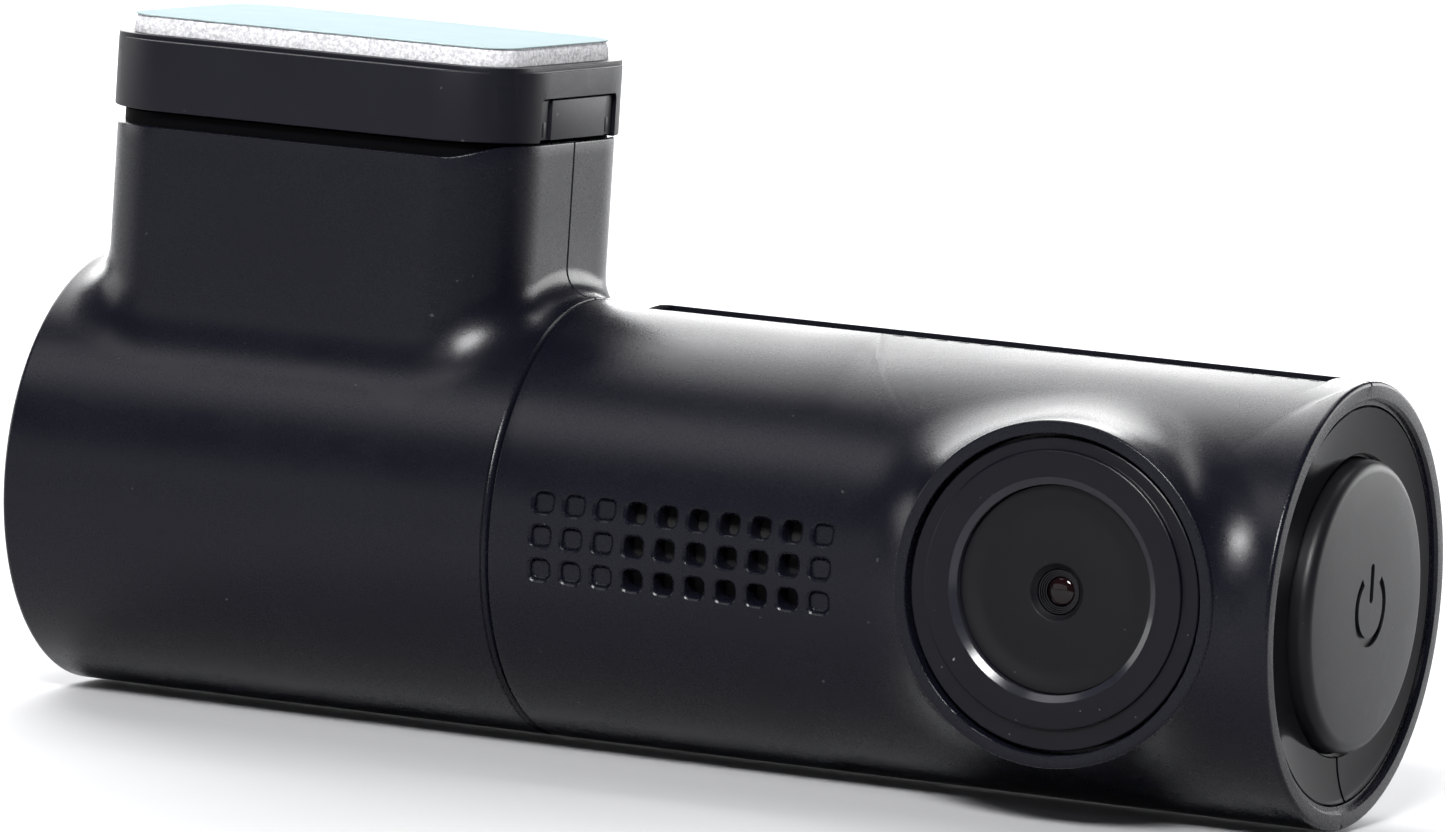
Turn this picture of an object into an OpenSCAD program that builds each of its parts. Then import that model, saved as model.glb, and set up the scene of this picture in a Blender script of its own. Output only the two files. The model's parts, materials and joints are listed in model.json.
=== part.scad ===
// Windscreen dash camera: a bracket stuck to the glass, a fixed base and a
// camera barrel that turns on the base. Origin: centre of the glass face.
// +Z up to the glass, +X along the barrel to the button end, lens faces -Y.

/* [Overall] */
// diameter of the barrel and of the base
body_d = 30; // [26:0.5:38]
// length of the turning barrel
barrel_len = 57; // [46:0.5:80]
// length of the fixed base
base_len = 37.2; // [36:0.2:48]
// drop from the glass face to the barrel axis
axis_drop = 32; // [26:0.5:42]
// wall of the moulded shells
wall = 1.6; // [1.2:0.1:2]

/* [Bracket] */
// length of the bracket plate along the barrel
plate_len = 32.4; // [30:0.2:34]
// width of the bracket plate
plate_wid = 22.4; // [20:0.2:24]
// thickness of the bracket plate
plate_thick = 4.8; // [4:0.1:6]
// corner radius of the plate and riser
plate_corner = 6.5; // [4:0.5:8]
// length of the adhesive foam pad
pad_len = 29; // [24:0.5:30]
// width of the adhesive foam pad
pad_wid = 18.4; // [16:0.2:20]
// height of the foam pad above the plate rim
pad_proud = 1.5; // [1:0.1:3]
// thickness of the release liner
liner_thick = 0.1; // [0.05:0.05:0.2]
// fall of the slot between the plate and the riser
riser_gap = 1.1; // [0.6:0.1:2]

/* [Lens] */
// distance from the lens boss to the button rim
boss_back = 3.6; // [3:0.1:8]
// height of the boss centre above the barrel axis
lens_rise = 0.4; // [0:0.1:1]
// outer diameter of the lens boss
boss_d = 23; // [19:0.2:28]
// reach of the boss in front of the barrel
boss_proud = 0.9; // [0.5:0.1:2]
// diameter of the lens opening
eye_d = 3.7; // [3:0.1:5]

/* [Speaker grille] */
// number of grille columns
grille_cols = 10; // [8:1:10]
// number of grille rows
grille_rows = 3; // [1:1:5]
// spacing of the grille holes
hole_pitch = 2.3; // [2:0.1:2.6]
// side of a square grille hole
hole_w = 1.4; // [1:0.1:1.6]

/* [Button end] */
// diameter of the round button
button_d = 19.6; // [16:0.2:20]
// reach of the button past the rim
button_proud = 1; // [0.7:0.1:2]
// press travel of the button
button_travel = 0.6; // [0.3:0.1:0.8]
// depth of the ring recess round the button
recess_depth = 0.4; // [0.2:0.1:3]
// width of the end rim
rim_w = 1.3; // [1:0.1:1.6]

/* [Fits] */
// gap at the turning seam
seam_gap = 0.15; // [0.1:0.05:0.5]
// radial clearance of the pivot
pivot_clear = 0.05; // [0.03:0.01:0.1]
// clearance of the bracket slide
slide_clear = 0.15; // [0.1:0.05:0.3]
// gap between fixed mating parts
fit_gap = 0.06; // [0.03:0.01:0.1]

/* [Hidden] */
$fn = 96;
eps = 0.01;
far = 200;
axis_z = -axis_drop;
body_r = body_d / 2;
inner_r = body_r - wall;
seam_x = base_len / 2;
base_x0 = -seam_x;
base_x1 = seam_x - seam_gap / 2;
barrel_x0 = seam_x + seam_gap / 2;
end_x = seam_x + barrel_len;
lens_x = end_x - boss_back - boss_d / 2;
// bracket levels
liner_z = -liner_thick;
rim_z = -liner_thick - pad_proud;
plate_z = rim_z - plate_thick;
pad_sink = 0.5;
skin = 0.9;
cavity_z0 = plate_z + skin;
cavity_h = 2.1;
neck_w = 6;
head_w = 8.6;
window_w = 11.4;
rail_x0 = -plate_len / 2 + 3.2;
tab_reach = 4;
tab_travel = 0.8;
rail_x1 = plate_len / 2 - tab_reach - tab_travel - slide_clear;
// riser levels
riser_len = plate_len - 0.5;
riser_wid = plate_wid - 0.5;
riser_corner = plate_corner - 0.25;
riser_z = plate_z - riser_gap;
top_wall = 1.4;
blend_r = 6;
gap_depth = 0.5;
shoulder_x = plate_len / 2 - 3.9;
// pivot
pivot_r = 6.1;
pivot_bore = 4.2;
base_wall = 2;
lip = 0.45;
disc_t = 2.1;
disc_x = barrel_x0 + lip;
disc_x1 = disc_x + disc_t;
washer_t = 0.6;
clip_t = 0.8;
washer_x = disc_x1 + 0.1;
clip_x = washer_x + washer_t + 0.1;
sleeve_x0 = base_x1 - base_wall - 1.5;
sleeve_x1 = clip_x + clip_t + 1.2;
// lens levels, measured forward from the barrel axis
boss_r = boss_d / 2;
face_f = body_r + boss_proud;
pocket_r = boss_r - 0.9;
pocket_f = face_f - 2.1;
floor_t = 1.2;
boss_f0 = sqrt(pow(body_r, 2) - pow(boss_r + lens_rise, 2)) - 1.6;
bezel_r = pocket_r - 0.25;
step_r = boss_r - 2.25;
cham_r = boss_r - 4.1;
cham_w = 0.45;
dish_f = face_f - 0.7;
ring_rise = lens_rise + 0.3;
eye_r = eye_d / 2;
eye_rise = lens_rise + 0.1;
tube_r = 4;
holder_w = 12;
holder_f1 = body_r - 6.8;
holder_f0 = body_r - 11;
// button end
recess_x = end_x - recess_depth;
rim_in_r = body_r - rim_w;
ring_t = 0.6;
button_r = button_d / 2;
guide_r = button_r + 0.15;
carrier_x1 = recess_x - ring_t - fit_gap;
carrier_x0 = carrier_x1 - 2.9;
plunger_x = carrier_x0 - 0.8;
switch_x = plunger_x - button_travel - 0.1;
switch_h = 1.6;
board_t = 0.8;
endboard_x = switch_x - switch_h - board_t;
// grille
grille_x0 = seam_x + 3.9;
grille_mid = 0.7;
mic_room = 5.8;
// the columns close up when the space before the boss is short
pitch = min(hole_pitch, (lens_x - boss_r - mic_room - grille_x0) / (grille_cols - 1));
hole_side = min(hole_w, pitch * 0.62);
row_step = hole_pitch / body_r * 180 / PI;
mic_x = grille_x0 + (grille_cols - 1) * pitch + mic_room / 2;
speaker_x = grille_x0 + 5.5 * pitch;
speaker_half = 3.9 * pitch;
// top vent strip
vent_x0 = seam_x + 4.6;
vent_len = end_x - 2.5 - vent_x0;
vent_w = 3.9;
vent_slot = 0.8;
// main board
board_x0 = seam_x + 10;
board_x1 = lens_x - 12.5;
board_y = 1;
board_hz = inner_r - 1.6;
board_len = board_x1 - board_x0;
post_r = 2.3;
post_x = board_x0 + 3;
post_z = board_hz - 3.2;
post_reach = sqrt(pow(inner_r, 2) - pow(post_z, 2)) - 0.6;
chip_x = post_x + max(post_r + 0.6, board_len * 0.155);
chip_x1 = chip_x + (board_x1 - chip_x) * 0.666;
// the speaker fills the height between the screw posts
speaker_hz = post_z - post_r - 0.3;
magnet_r = min(speaker_hz - 1.8, speaker_half - 0.5);
// memory card
card_x = lens_x - 4.5;
card_w = 11;
card_l = 15;
card_t = 0.8;
card_z = axis_z - 6;
card_y1 = body_r - 1.4;
// screws
screw_r = 0.9;
head_r = 1.7;
head_y = 6.5;
base_post_x = base_x0 + 5;
base_post_z = inner_r - 5.4;
base_post_reach = sqrt(pow(inner_r, 2) - pow(base_post_z, 2)) - 0.6;
// power socket
socket_w = 7.5;
socket_h = 2.7;
socket_l = 5.6;
pboard_z = riser_z - top_wall - 6.2;
socket_x0 = -riser_len / 2 + 0.4;

// ---- helpers ----

// puts local z along +X on the barrel axis
module along_x(x) {
    translate([x, 0, axis_z])
        rotate([0, 90, 0])
            children();
}

// puts local z along -Y, f in front of the axis, rise above it
module along_lens(f, rise) {
    translate([lens_x, -f, axis_z + rise])
        rotate([90, 0, 0])
            children();
}

module rod_x(x0, x1, r) {
    along_x(x0)
        cylinder(r = r, h = x1 - x0);
}

module pipe_x(x0, x1, r_out, r_in) {
    difference() {
        rod_x(x0, x1, r_out);
        rod_x(x0 - eps, x1 + eps, r_in);
    }
}

// cylinder along -Y from f0 to f1 in front of the axis
module rod_lens(f0, f1, r, rise) {
    along_lens(f0, rise)
        cylinder(r = r, h = f1 - f0);
}

module rod_y(x, y0, y1, z, r) {
    translate([x, y0, z])
        rotate([-90, 0, 0])
            cylinder(r = r, h = y1 - y0);
}

// box from min corner to max corner
module span(a, b) {
    translate(a)
        cube([b[0] - a[0], b[1] - a[1], b[2] - a[2]]);
}

module round_rect(l, w, r) {
    union() {
        square([l - 2 * r, w], center = true);
        square([l, w - 2 * r], center = true);
        for (sx = [-1, 1], sy = [-1, 1])
            translate([sx * (l / 2 - r), sy * (w / 2 - r)])
                circle(r = r);
    }
}

module slab(l, w, r, z0, z1) {
    translate([0, 0, z0])
        linear_extrude(height = z1 - z0)
            round_rect(l, w, r);
}

module front_half() {
    intersection() {
        children();
        translate([-far / 2, -far - fit_gap / 2, -far / 2])
            cube(far);
    }
}

module rear_half() {
    intersection() {
        children();
        translate([-far / 2, fit_gap / 2, -far / 2])
            cube(far);
    }
}

// ---- bracket ----

module bracket_plate() {
    color("#1c1c22")
        difference() {
            slab(plate_len, plate_wid, plate_corner, plate_z, rim_z);
            slab(pad_len + 0.3, pad_wid + 0.3, 3, rim_z - pad_sink, rim_z + eps);
            span([rail_x0 - 0.5, -neck_w / 2 - 2 * slide_clear, plate_z - eps],
                 [plate_len, neck_w / 2 + 2 * slide_clear, cavity_z0 + eps]);
            span([rail_x0 - 0.5, -head_w / 2 - 2 * slide_clear, cavity_z0],
                 [plate_len, head_w / 2 + 2 * slide_clear, cavity_z0 + cavity_h]);
            span([rail_x1, -window_w / 2, plate_z - eps],
                 [plate_len, window_w / 2, cavity_z0 + cavity_h]);
        }
}

module foam_pad() {
    color("#b9bcc0")
        slab(pad_len, pad_wid, 2.8, rim_z - pad_sink + 0.02, liner_z - 0.01);
}

module release_liner() {
    color("#cfe9ee")
        slab(pad_len + 0.2, pad_wid + 0.2, 2.9, liner_z, 0);
}

// ---- base ----

// side profile of the soft blend from the base drum up to the riser
module blend_profile() {
    face = riser_wid / 2;
    cy = face + blend_r;
    cz = sqrt(pow(body_r + blend_r, 2) - pow(cy, 2));
    ty = cy * body_r / (body_r + blend_r);
    tz = cz * body_r / (body_r + blend_r);
    difference() {
        polygon([[0, 0], [ty, tz], [cy, cz], [face, cz], [0, cz]]);
        translate([cy, cz])
            circle(r = blend_r);
    }
}

module riser_blend() {
    for (s = [-1, 1])
        translate([-riser_len / 2 + riser_corner, 0, axis_z])
            scale([1, s, 1])
                rotate([90, 0, 90])
                    linear_extrude(height = riser_len - 2 * riser_corner)
                        blend_profile();
}

// a plinth behind the shadow gap carries the plate; the shoulder at the tab
// end comes up to the plate's own edge
module riser_outer() {
    slab(riser_len, riser_wid, riser_corner, axis_z, riser_z);
    slab(riser_len - 2 * gap_depth, riser_wid - 2 * gap_depth, riser_corner - gap_depth,
         riser_z - 1, plate_z - slide_clear);
    intersection() {
        slab(riser_len, riser_wid, riser_corner, riser_z - 1, plate_z - slide_clear);
        span([shoulder_x, -far / 2, -far], [far / 2, far / 2, far]);
    }
}

module base_hollow() {
    rod_x(base_x0 + wall, base_x1 - base_wall, inner_r);
    slab(riser_len - 2 * wall, riser_wid - 2 * wall, riser_corner - wall,
         axis_z, riser_z - top_wall);
}

module base_posts() {
    for (z = [-base_post_z, base_post_z])
        rod_y(base_post_x, -base_post_reach, base_post_reach, axis_z + z, post_r);
}

module base_screw_holes() {
    for (z = [-base_post_z, base_post_z]) {
        rod_y(base_post_x, -9.5, far / 4, axis_z + z, screw_r);
        rod_y(base_post_x, head_y, far / 4, axis_z + z, head_r + 0.3);
    }
}

module base_shell() {
    difference() {
        union() {
            difference() {
                union() {
                    rod_x(base_x0, base_x1, body_r);
                    riser_outer();
                    riser_blend();
                }
                base_hollow();
            }
            base_posts();
        }
        base_screw_holes();
        rod_x(base_x1 - base_wall - eps, base_x1 + eps, pivot_r + fit_gap);
        span([rail_x0 - 0.2, -neck_w / 2 - 0.1, riser_z - top_wall - eps],
             [rail_x1 + 0.2, neck_w / 2 + 0.1, far]);
        span([socket_x0 - wall, -socket_w / 2 - 0.3, pboard_z - 0.2],
             [socket_x0 + wall, socket_w / 2 + 0.3, pboard_z + socket_h + 0.3]);
    }
}

module base_front_shell() {
    color("#18181f")
        front_half()
            base_shell();
}

module base_rear_shell() {
    color("#1a1a21")
        rear_half()
            base_shell();
}

module slide_rail() {
    mid = head_w / 2;
    neck = neck_w / 2;
    lift = cavity_z0 + slide_clear;
    color("#26262c")
        difference() {
            union() {
                span([rail_x0, -neck - 3.4, riser_z - top_wall - 1.6],
                     [rail_x1, neck + 3.4, riser_z - top_wall - fit_gap]);
                span([rail_x0, -neck, riser_z - top_wall - 0.2], [rail_x1, neck, lift + eps]);
                span([rail_x0, -mid, lift], [rail_x1, mid, cavity_z0 + cavity_h - slide_clear]);
            }
            span([rail_x1 - 3.4, -2.1, lift + 0.2], [rail_x1 + eps, 2.1, lift + 1.5]);
        }
}

module release_tab() {
    z0 = plate_z + slide_clear;
    z1 = cavity_z0 + cavity_h - slide_clear;
    x1 = plate_len / 2 - 0.1;
    x0 = x1 - tab_reach + 0.1;
    stem_z = cavity_z0 + slide_clear + 0.35;
    color("#202027") {
        difference() {
            union() {
                span([x0, -4.1, z0], [x1, 4.1, z1]);
                span([x0, 0.15 - window_w / 2, z0], [x1 - 0.25, window_w / 2 - 0.15, z1]);
            }
            span([x0 - eps, -2.6, z0 - eps], [x1 - 1.2, 2.6, z0 + 0.7]);
        }
        span([x0 - 2.4, -1.9, stem_z], [x0 + eps, 1.9, stem_z + 1]);
        for (s = [-1, 1])
            translate([x1 - 0.85, s * 4.75, z0 + 0.1])
                cylinder(r = 0.7, h = 1.1);
    }
}

module pivot_sleeve() {
    color("#2b2b30")
        difference() {
            union() {
                rod_x(sleeve_x0, sleeve_x0 + 1.4, pivot_r + 2.4);
                rod_x(sleeve_x0, sleeve_x1, pivot_r);
            }
            rod_x(sleeve_x0 - eps, sleeve_x1 + eps, pivot_bore);
            pipe_x(clip_x - 0.02, clip_x + clip_t + 0.02, pivot_r + 1, pivot_r - 0.6);
        }
}

module friction_washer() {
    color("#8d8f94")
        pipe_x(washer_x, washer_x + washer_t, pivot_r + 2.6, pivot_r + 0.1);
}

module retaining_clip() {
    color("#9a9ca0")
        difference() {
            pipe_x(clip_x, clip_x + clip_t, pivot_r + 1.8, pivot_r - 0.55);
            span([clip_x - eps, -2, axis_z], [clip_x + clip_t + eps, 2, axis_z + pivot_r + 3]);
        }
}

module power_board() {
    color("#1f5a3a")
        difference() {
            translate([0, 0, pboard_z - 1])
                linear_extrude(height = 1)
                    translate([-2, 0])
                        round_rect(riser_len - wall * 2 - 5, 13, 1);
            translate([8, 0, pboard_z - 2])
                cylinder(r = 1.1, h = 3, $fn = 32);
        }
}

module power_socket() {
    color("#b9bbbe")
        difference() {
            span([socket_x0, -socket_w / 2, pboard_z + 0.05],
                 [socket_x0 + socket_l, socket_w / 2, pboard_z + 0.05 + socket_h]);
            span([socket_x0 - eps, -socket_w / 2 + 0.3, pboard_z + 0.35],
                 [socket_x0 + socket_l - 0.6, socket_w / 2 - 0.3, pboard_z + socket_h - 0.25]);
        }
}

module socket_tongue() {
    color("#111114")
        span([socket_x0 + 1, -socket_w / 2 + 1.4, pboard_z + 1.4],
             [socket_x0 + socket_l - 0.62, socket_w / 2 - 1.4, pboard_z + 2]);
}

module power_coil() {
    color("#3a3a3e") {
        span([-4, -3.5, pboard_z + 0.02], [1, 1.5, pboard_z + 2.8]);
        for (y = [-3, 3])
            translate([5, y, pboard_z + 0.02])
                cylinder(r = 1.3, h = 3, $fn = 48);
    }
}

// four leads from the power board down to the axis and through the sleeve
module power_harness() {
    drop_x = 4.5;
    color("#8a2020")
        for (y = [-2.4, -0.8, 0.8, 2.4]) {
            translate([drop_x, y, axis_z])
                cylinder(r = 0.6, h = pboard_z - 1.05 - axis_z, $fn = 32);
            translate([drop_x, y, axis_z])
                sphere(r = 0.6, $fn = 24);
            translate([drop_x, y, axis_z])
                rotate([0, 90, 0])
                    cylinder(r = 0.6, h = board_x0 - 1 - drop_x, $fn = 32);
        }
}

module base_screws() {
    color("#6f7276")
        for (z = [-base_post_z, base_post_z]) {
            rod_y(base_post_x, -8.5, head_y, axis_z + z, screw_r - 0.05);
            rod_y(base_post_x, head_y + 0.02, head_y + 1.1, axis_z + z, head_r);
        }
}

// ---- barrel shells ----

module barrel_tube() {
    difference() {
        rod_x(barrel_x0, end_x, body_r);
        rod_x(barrel_x0 - eps, disc_x, inner_r - 0.5);
        rod_x(disc_x, disc_x1 + 0.04, inner_r);
        rod_x(disc_x1, disc_x1 + 0.8, inner_r - 0.5);
        rod_x(disc_x1 + 0.7, end_x, inner_r);
        rod_x(recess_x, end_x + eps, rim_in_r);
    }
}

module lens_boss() {
    difference() {
        rod_lens(boss_f0, face_f, boss_r, lens_rise);
        rod_lens(boss_f0 - eps, pocket_f - floor_t, pocket_r - 0.2, lens_rise);
        rod_x(barrel_x0, end_x, inner_r - 0.9);
        rod_x(carrier_x0 - 0.1, end_x, inner_r);
    }
}

module lens_pocket() {
    rod_lens(pocket_f, face_f + eps, pocket_r, lens_rise);
    rod_lens(0, face_f, tube_r + 1.6, lens_rise);
}

module grille_hole(col, row, depth) {
    ang = grille_mid + (row - (grille_rows - 1) / 2) * row_step;
    translate([grille_x0 + col * pitch, 0, axis_z])
        rotate([-ang, 0, 0])
            translate([0, -body_r - 1, 0])
                rotate([-90, 0, 0])
                    linear_extrude(height = 1 + depth)
                        round_rect(hole_side, hole_side, hole_side * 0.28);
}

// blind dimples outside the open columns in the middle of the grille
module grille_holes() {
    for (c = [0 : grille_cols - 1], r = [0 : grille_rows - 1])
        grille_hole(c, r, (c > 2 && c < grille_cols - 1) ? wall + 1 : wall * 0.25);
}

module vent_opening() {
    span([vent_x0, -vent_w / 2, axis_z + inner_r - 2],
         [vent_x0 + vent_len, vent_w / 2, axis_z + body_r + 2]);
}

module card_slot() {
    span([card_x - card_w / 2 - 0.3, 2, card_z - 0.3],
         [card_x + card_w / 2 + 0.3, far / 2, card_z + card_t + 0.3]);
    rod_y(card_x, body_r - 2.6, far / 4, card_z + card_t / 2, 3.2);
}

function post_spots() = [[post_x, post_z], [board_x1 - 2.5, -post_z]];

module barrel_posts() {
    for (p = post_spots())
        rod_y(p[0], -post_reach, post_reach, axis_z + p[1], post_r);
}

module barrel_screw_holes() {
    for (p = post_spots()) {
        rod_y(p[0], -6.2, far / 4, axis_z + p[1], screw_r);
        rod_y(p[0], head_y, far / 4, axis_z + p[1], head_r + 0.3);
    }
}

module barrel_front_shell() {
    color("#18181f")
        front_half()
            difference() {
                union() {
                    barrel_tube();
                    intersection() {
                        lens_boss();
                        span([barrel_x0, -far / 2, -far], [end_x - 0.5, 0, far]);
                    }
                    barrel_posts();
                }
                lens_pocket();
                grille_holes();
                vent_opening();
                barrel_screw_holes();
            }
}

module barrel_rear_shell() {
    color("#1a1a21")
        rear_half()
            difference() {
                union() {
                    barrel_tube();
                    barrel_posts();
                }
                vent_opening();
                card_slot();
                barrel_screw_holes();
            }
}

module hinge_disc() {
    color("#26262c")
        difference() {
            rod_x(disc_x + 0.03, disc_x1 - 0.03, inner_r - 0.05);
            rod_x(disc_x - eps, disc_x1 + eps, pivot_r + pivot_clear);
        }
}

module vent_grille() {
    count = floor(vent_len / (2 * vent_slot)) - 1;
    start = vent_x0 + (vent_len - (count * 2 - 1) * vent_slot) / 2;
    color("#0e0e12")
        difference() {
            intersection() {
                pipe_x(vent_x0, vent_x0 + vent_len, body_r - 0.05, inner_r + 0.05);
                span([vent_x0 + fit_gap, -vent_w / 2 + fit_gap, axis_z],
                     [vent_x0 + vent_len - fit_gap, vent_w / 2 - fit_gap, axis_z + body_r]);
            }
            for (i = [0 : count - 1])
                span([start + i * 2 * vent_slot, -vent_w / 2 + 0.7, axis_z],
                     [start + (i * 2 + 1) * vent_slot, vent_w / 2 - 0.7, axis_z + body_r + 1]);
        }
}

// ---- button end ----

module end_carrier() {
    color("#26262c")
        difference() {
            rod_x(carrier_x0, carrier_x1, inner_r - 0.05);
            rod_x(carrier_x0 + 1, carrier_x1 + eps, guide_r);
            rod_x(carrier_x0 - eps, carrier_x0 + 1 + eps, 3);
        }
}

module indicator_ring() {
    color("#08080a")
        pipe_x(recess_x - ring_t, recess_x, inner_r - 0.05, guide_r + 0.1);
}

module power_button() {
    face_x = end_x + button_proud;
    edge = 0.8;
    bevel = 0.4;
    back_x = carrier_x0 + 1 + button_travel + 0.3;
    h = face_x - back_x;
    color("#1b1b21") {
        along_x(back_x)
            rotate_extrude()
                polygon([[0, h - 1.6], [button_r - 1.2, h - 1.6], [button_r - 1.2, 0],
                         [button_r, 0], [button_r, h - edge], [button_r - bevel / 2, h - bevel],
                         [button_r - edge, h - 0.12], [button_r - 1.6, h], [0, h]]);
        rod_x(plunger_x, face_x - 1.5, 1.5);
    }
}

module button_switch() {
    color("#c9c9cc") {
        span([switch_x - switch_h + 0.02, -2.5, axis_z - 2.5], [switch_x - 0.4, 2.5, axis_z + 2.5]);
        rod_x(switch_x - 0.5, switch_x, 1.6);
    }
}

module button_board() {
    color("#1f5a3a")
        span([endboard_x, -2.55, axis_z - 7.5], [endboard_x + board_t, 9.5, axis_z + 7.5]);
}

// ---- lens ----

module lens_bezel() {
    h = face_f - pocket_f - 0.05;
    color("#1d1d24")
        along_lens(pocket_f + 0.05, lens_rise)
            difference() {
                union() {
                    cylinder(r = bezel_r, h = h - 0.2);
                    translate([0, ring_rise - lens_rise, 0])
                        cylinder(r = step_r, h = h);
                }
                translate([0, ring_rise - lens_rise, -1])
                    cylinder(r = cham_r - cham_w, h = h + 2);
                translate([0, ring_rise - lens_rise, h - cham_w])
                    cylinder(r1 = cham_r - cham_w, r2 = cham_r + eps, h = cham_w + eps);
            }
}

module lens_face() {
    h = dish_f - pocket_f - 0.05;
    color("#1b1b20")
        along_lens(pocket_f + 0.05, ring_rise)
            difference() {
                cylinder(r = cham_r - cham_w - 0.05, h = h);
                translate([0, eye_rise - ring_rise, -1])
                    cylinder(r = eye_r - 0.35, h = h + 2);
                translate([0, eye_rise - ring_rise, h - 0.35])
                    cylinder(r1 = eye_r - 0.35, r2 = eye_r, h = 0.35 + eps);
            }
}

module lens_tube() {
    color("#101013")
        difference() {
            union() {
                rod_lens(holder_f0 + 2.2, pocket_f - 0.2, tube_r, lens_rise);
                rod_lens(pocket_f - 0.3, dish_f - 0.5, eye_r - 0.4, eye_rise);
            }
            rod_lens(holder_f0 + 1, pocket_f - 1.4, tube_r - 0.7, lens_rise);
            rod_lens(pocket_f - 1.5, dish_f - 0.9, 0.85, eye_rise);
            along_lens(dish_f - 0.95, eye_rise)
                cylinder(r1 = 0.85, r2 = 1.3, h = 0.46);
        }
}

module front_lens() {
    color("#2a3a4a")
        rod_lens(dish_f - 1.6, dish_f - 0.8, 0.84, eye_rise);
}

module rear_lens() {
    color("#4a5a6a") {
        rod_lens(pocket_f - 3.2, pocket_f - 1.9, tube_r - 0.72, lens_rise);
        rod_lens(pocket_f - 4.8, pocket_f - 3.8, tube_r - 0.72, lens_rise);
    }
}

module ir_filter() {
    color("#3a6a7a")
        translate([lens_x - 3, -holder_f0 - 2, axis_z + lens_rise - 3])
            cube([6, 0.4, 6]);
}

module lens_holder() {
    color("#17171a")
        difference() {
            union() {
                translate([lens_x - holder_w / 2, -holder_f1, axis_z + lens_rise - holder_w / 2])
                    cube([holder_w, holder_f1 - holder_f0, holder_w]);
                rod_lens(holder_f1 - 1, pocket_f - floor_t - 0.4, tube_r + 1.2, lens_rise);
            }
            rod_lens(holder_f0 + 2.1, pocket_f, tube_r + 0.03, lens_rise);
            translate([lens_x - 3.5, -holder_f0 - 2.2, axis_z + lens_rise - 3.5])
                cube([7, 2.3, 7]);
        }
}

module image_sensor() {
    color("#20303a")
        translate([lens_x - 3.2, -holder_f0 - 1.2, axis_z + lens_rise - 3.2])
            cube([6.4, 1.15, 6.4]);
}

module sensor_board() {
    color("#1f5a3a")
        translate([lens_x - holder_w / 2 - 0.6, -holder_f0 + 0.02, axis_z + lens_rise - holder_w / 2 - 0.6])
            cube([holder_w + 1.2, 0.9, holder_w + 1.2]);
}

// ---- electronics in the barrel ----

module main_board() {
    color("#1f5a3a")
        difference() {
            span([board_x0, board_y, axis_z - board_hz], [board_x1, board_y + 1, axis_z + board_hz]);
            for (p = post_spots())
                rod_y(p[0], 0, 4, axis_z + p[1], post_r + 0.3);
        }
}

module processor() {
    color("#151518")
        span([chip_x, board_y - 1.2, axis_z - 6], [chip_x1, board_y - 0.02, axis_z + 3]);
}

module memory_chip() {
    color("#151518")
        span([board_x0 + 1, board_y + 1.02, axis_z - 10],
             [board_x0 + board_len * 0.46, board_y + 2, axis_z - 5]);
}

module thermal_pad() {
    color("#7aa0b8")
        span([chip_x, board_y + 1.02, axis_z - 3], [chip_x1, board_y + 2.2, axis_z + 4]);
}

module heat_spreader() {
    color("#a8abb0") {
        span([board_x0 + 4.5, board_y + 2.22, axis_z - 4], [board_x1 - 1, board_y + 3.2, axis_z + 6]);
        for (i = [0 : 4])
            span([board_x0 + 4.5, board_y + 3.1, axis_z - 3.6 + i * 2.2],
                 [board_x1 - 1, board_y + 5, axis_z - 2.8 + i * 2.2]);
    }
}

module radio_module() {
    color("#b4b6ba")
        span([chip_x, board_y - 1.6, axis_z + 4.2], [board_x1 - 0.6, board_y - 0.02, axis_z + 10.5]);
}

module harness_socket() {
    color("#e4e2da")
        span([board_x0 - 0.2, board_y - 5.2, axis_z - 3.4], [board_x0 + 4, board_y - 0.02, axis_z + 3.4]);
}

module card_socket() {
    wide = card_w / 2 + 0.9;
    color("#b4b6ba")
        difference() {
            span([card_x - wide, card_y1 - card_l - 1, card_z - 1.1],
                 [card_x + wide, card_y1 - 4.2, card_z + card_t + 0.8]);
            span([card_x - card_w / 2 - 0.2, card_y1 - card_l - 0.4, card_z - 0.2],
                 [card_x + card_w / 2 + 0.2, far / 2, card_z + card_t + 0.2]);
        }
}

module memory_card() {
    color("#2c2c33")
        difference() {
            span([card_x - card_w / 2, card_y1 - card_l, card_z],
                 [card_x + card_w / 2, card_y1, card_z + card_t]);
            span([card_x + card_w / 2 - 1.2, card_y1 - card_l - eps, card_z - eps],
                 [card_x + card_w / 2 + 1, card_y1 - 8.6, card_z + card_t + eps]);
        }
}

module speaker_frame() {
    color("#1c1c1f")
        difference() {
            span([speaker_x - speaker_half, -body_r + 4.9, axis_z - speaker_hz],
                 [speaker_x + speaker_half, -body_r + 7.5, axis_z + speaker_hz]);
            span([speaker_x - speaker_half + 1, -body_r + 4, axis_z - speaker_hz + 1],
                 [speaker_x + speaker_half - 1, -body_r + 6.4, axis_z + speaker_hz - 1]);
            rod_y(speaker_x, -body_r + 4, 0, axis_z, magnet_r + 0.1);
        }
}

module speaker_cone() {
    color("#4b4b50") {
        difference() {
            span([speaker_x - speaker_half + 1.1, -body_r + 5.3, axis_z - speaker_hz + 1.1],
                 [speaker_x + speaker_half - 1.1, -body_r + 5.6, axis_z + speaker_hz - 1.1]);
            rod_y(speaker_x, -body_r + 5, -body_r + 6, axis_z, magnet_r - 0.7);
        }
        rod_y(speaker_x, -body_r + 5.2, -body_r + 5.6, axis_z, magnet_r - 0.6);
    }
}

module speaker_magnet() {
    color("#8f9296")
        rod_y(speaker_x, -body_r + 6, -body_r + 8.4, axis_z, magnet_r);
}

module speaker_mesh() {
    color("#0c0c0e")
        intersection() {
            pipe_x(grille_x0 + 2.2 * pitch, grille_x0 + 8.8 * pitch,
                   inner_r - 0.03, inner_r - 0.33);
            span([grille_x0, -body_r, axis_z - 4.5], [grille_x0 + 30, 0, axis_z + 4.5]);
        }
}

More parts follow.
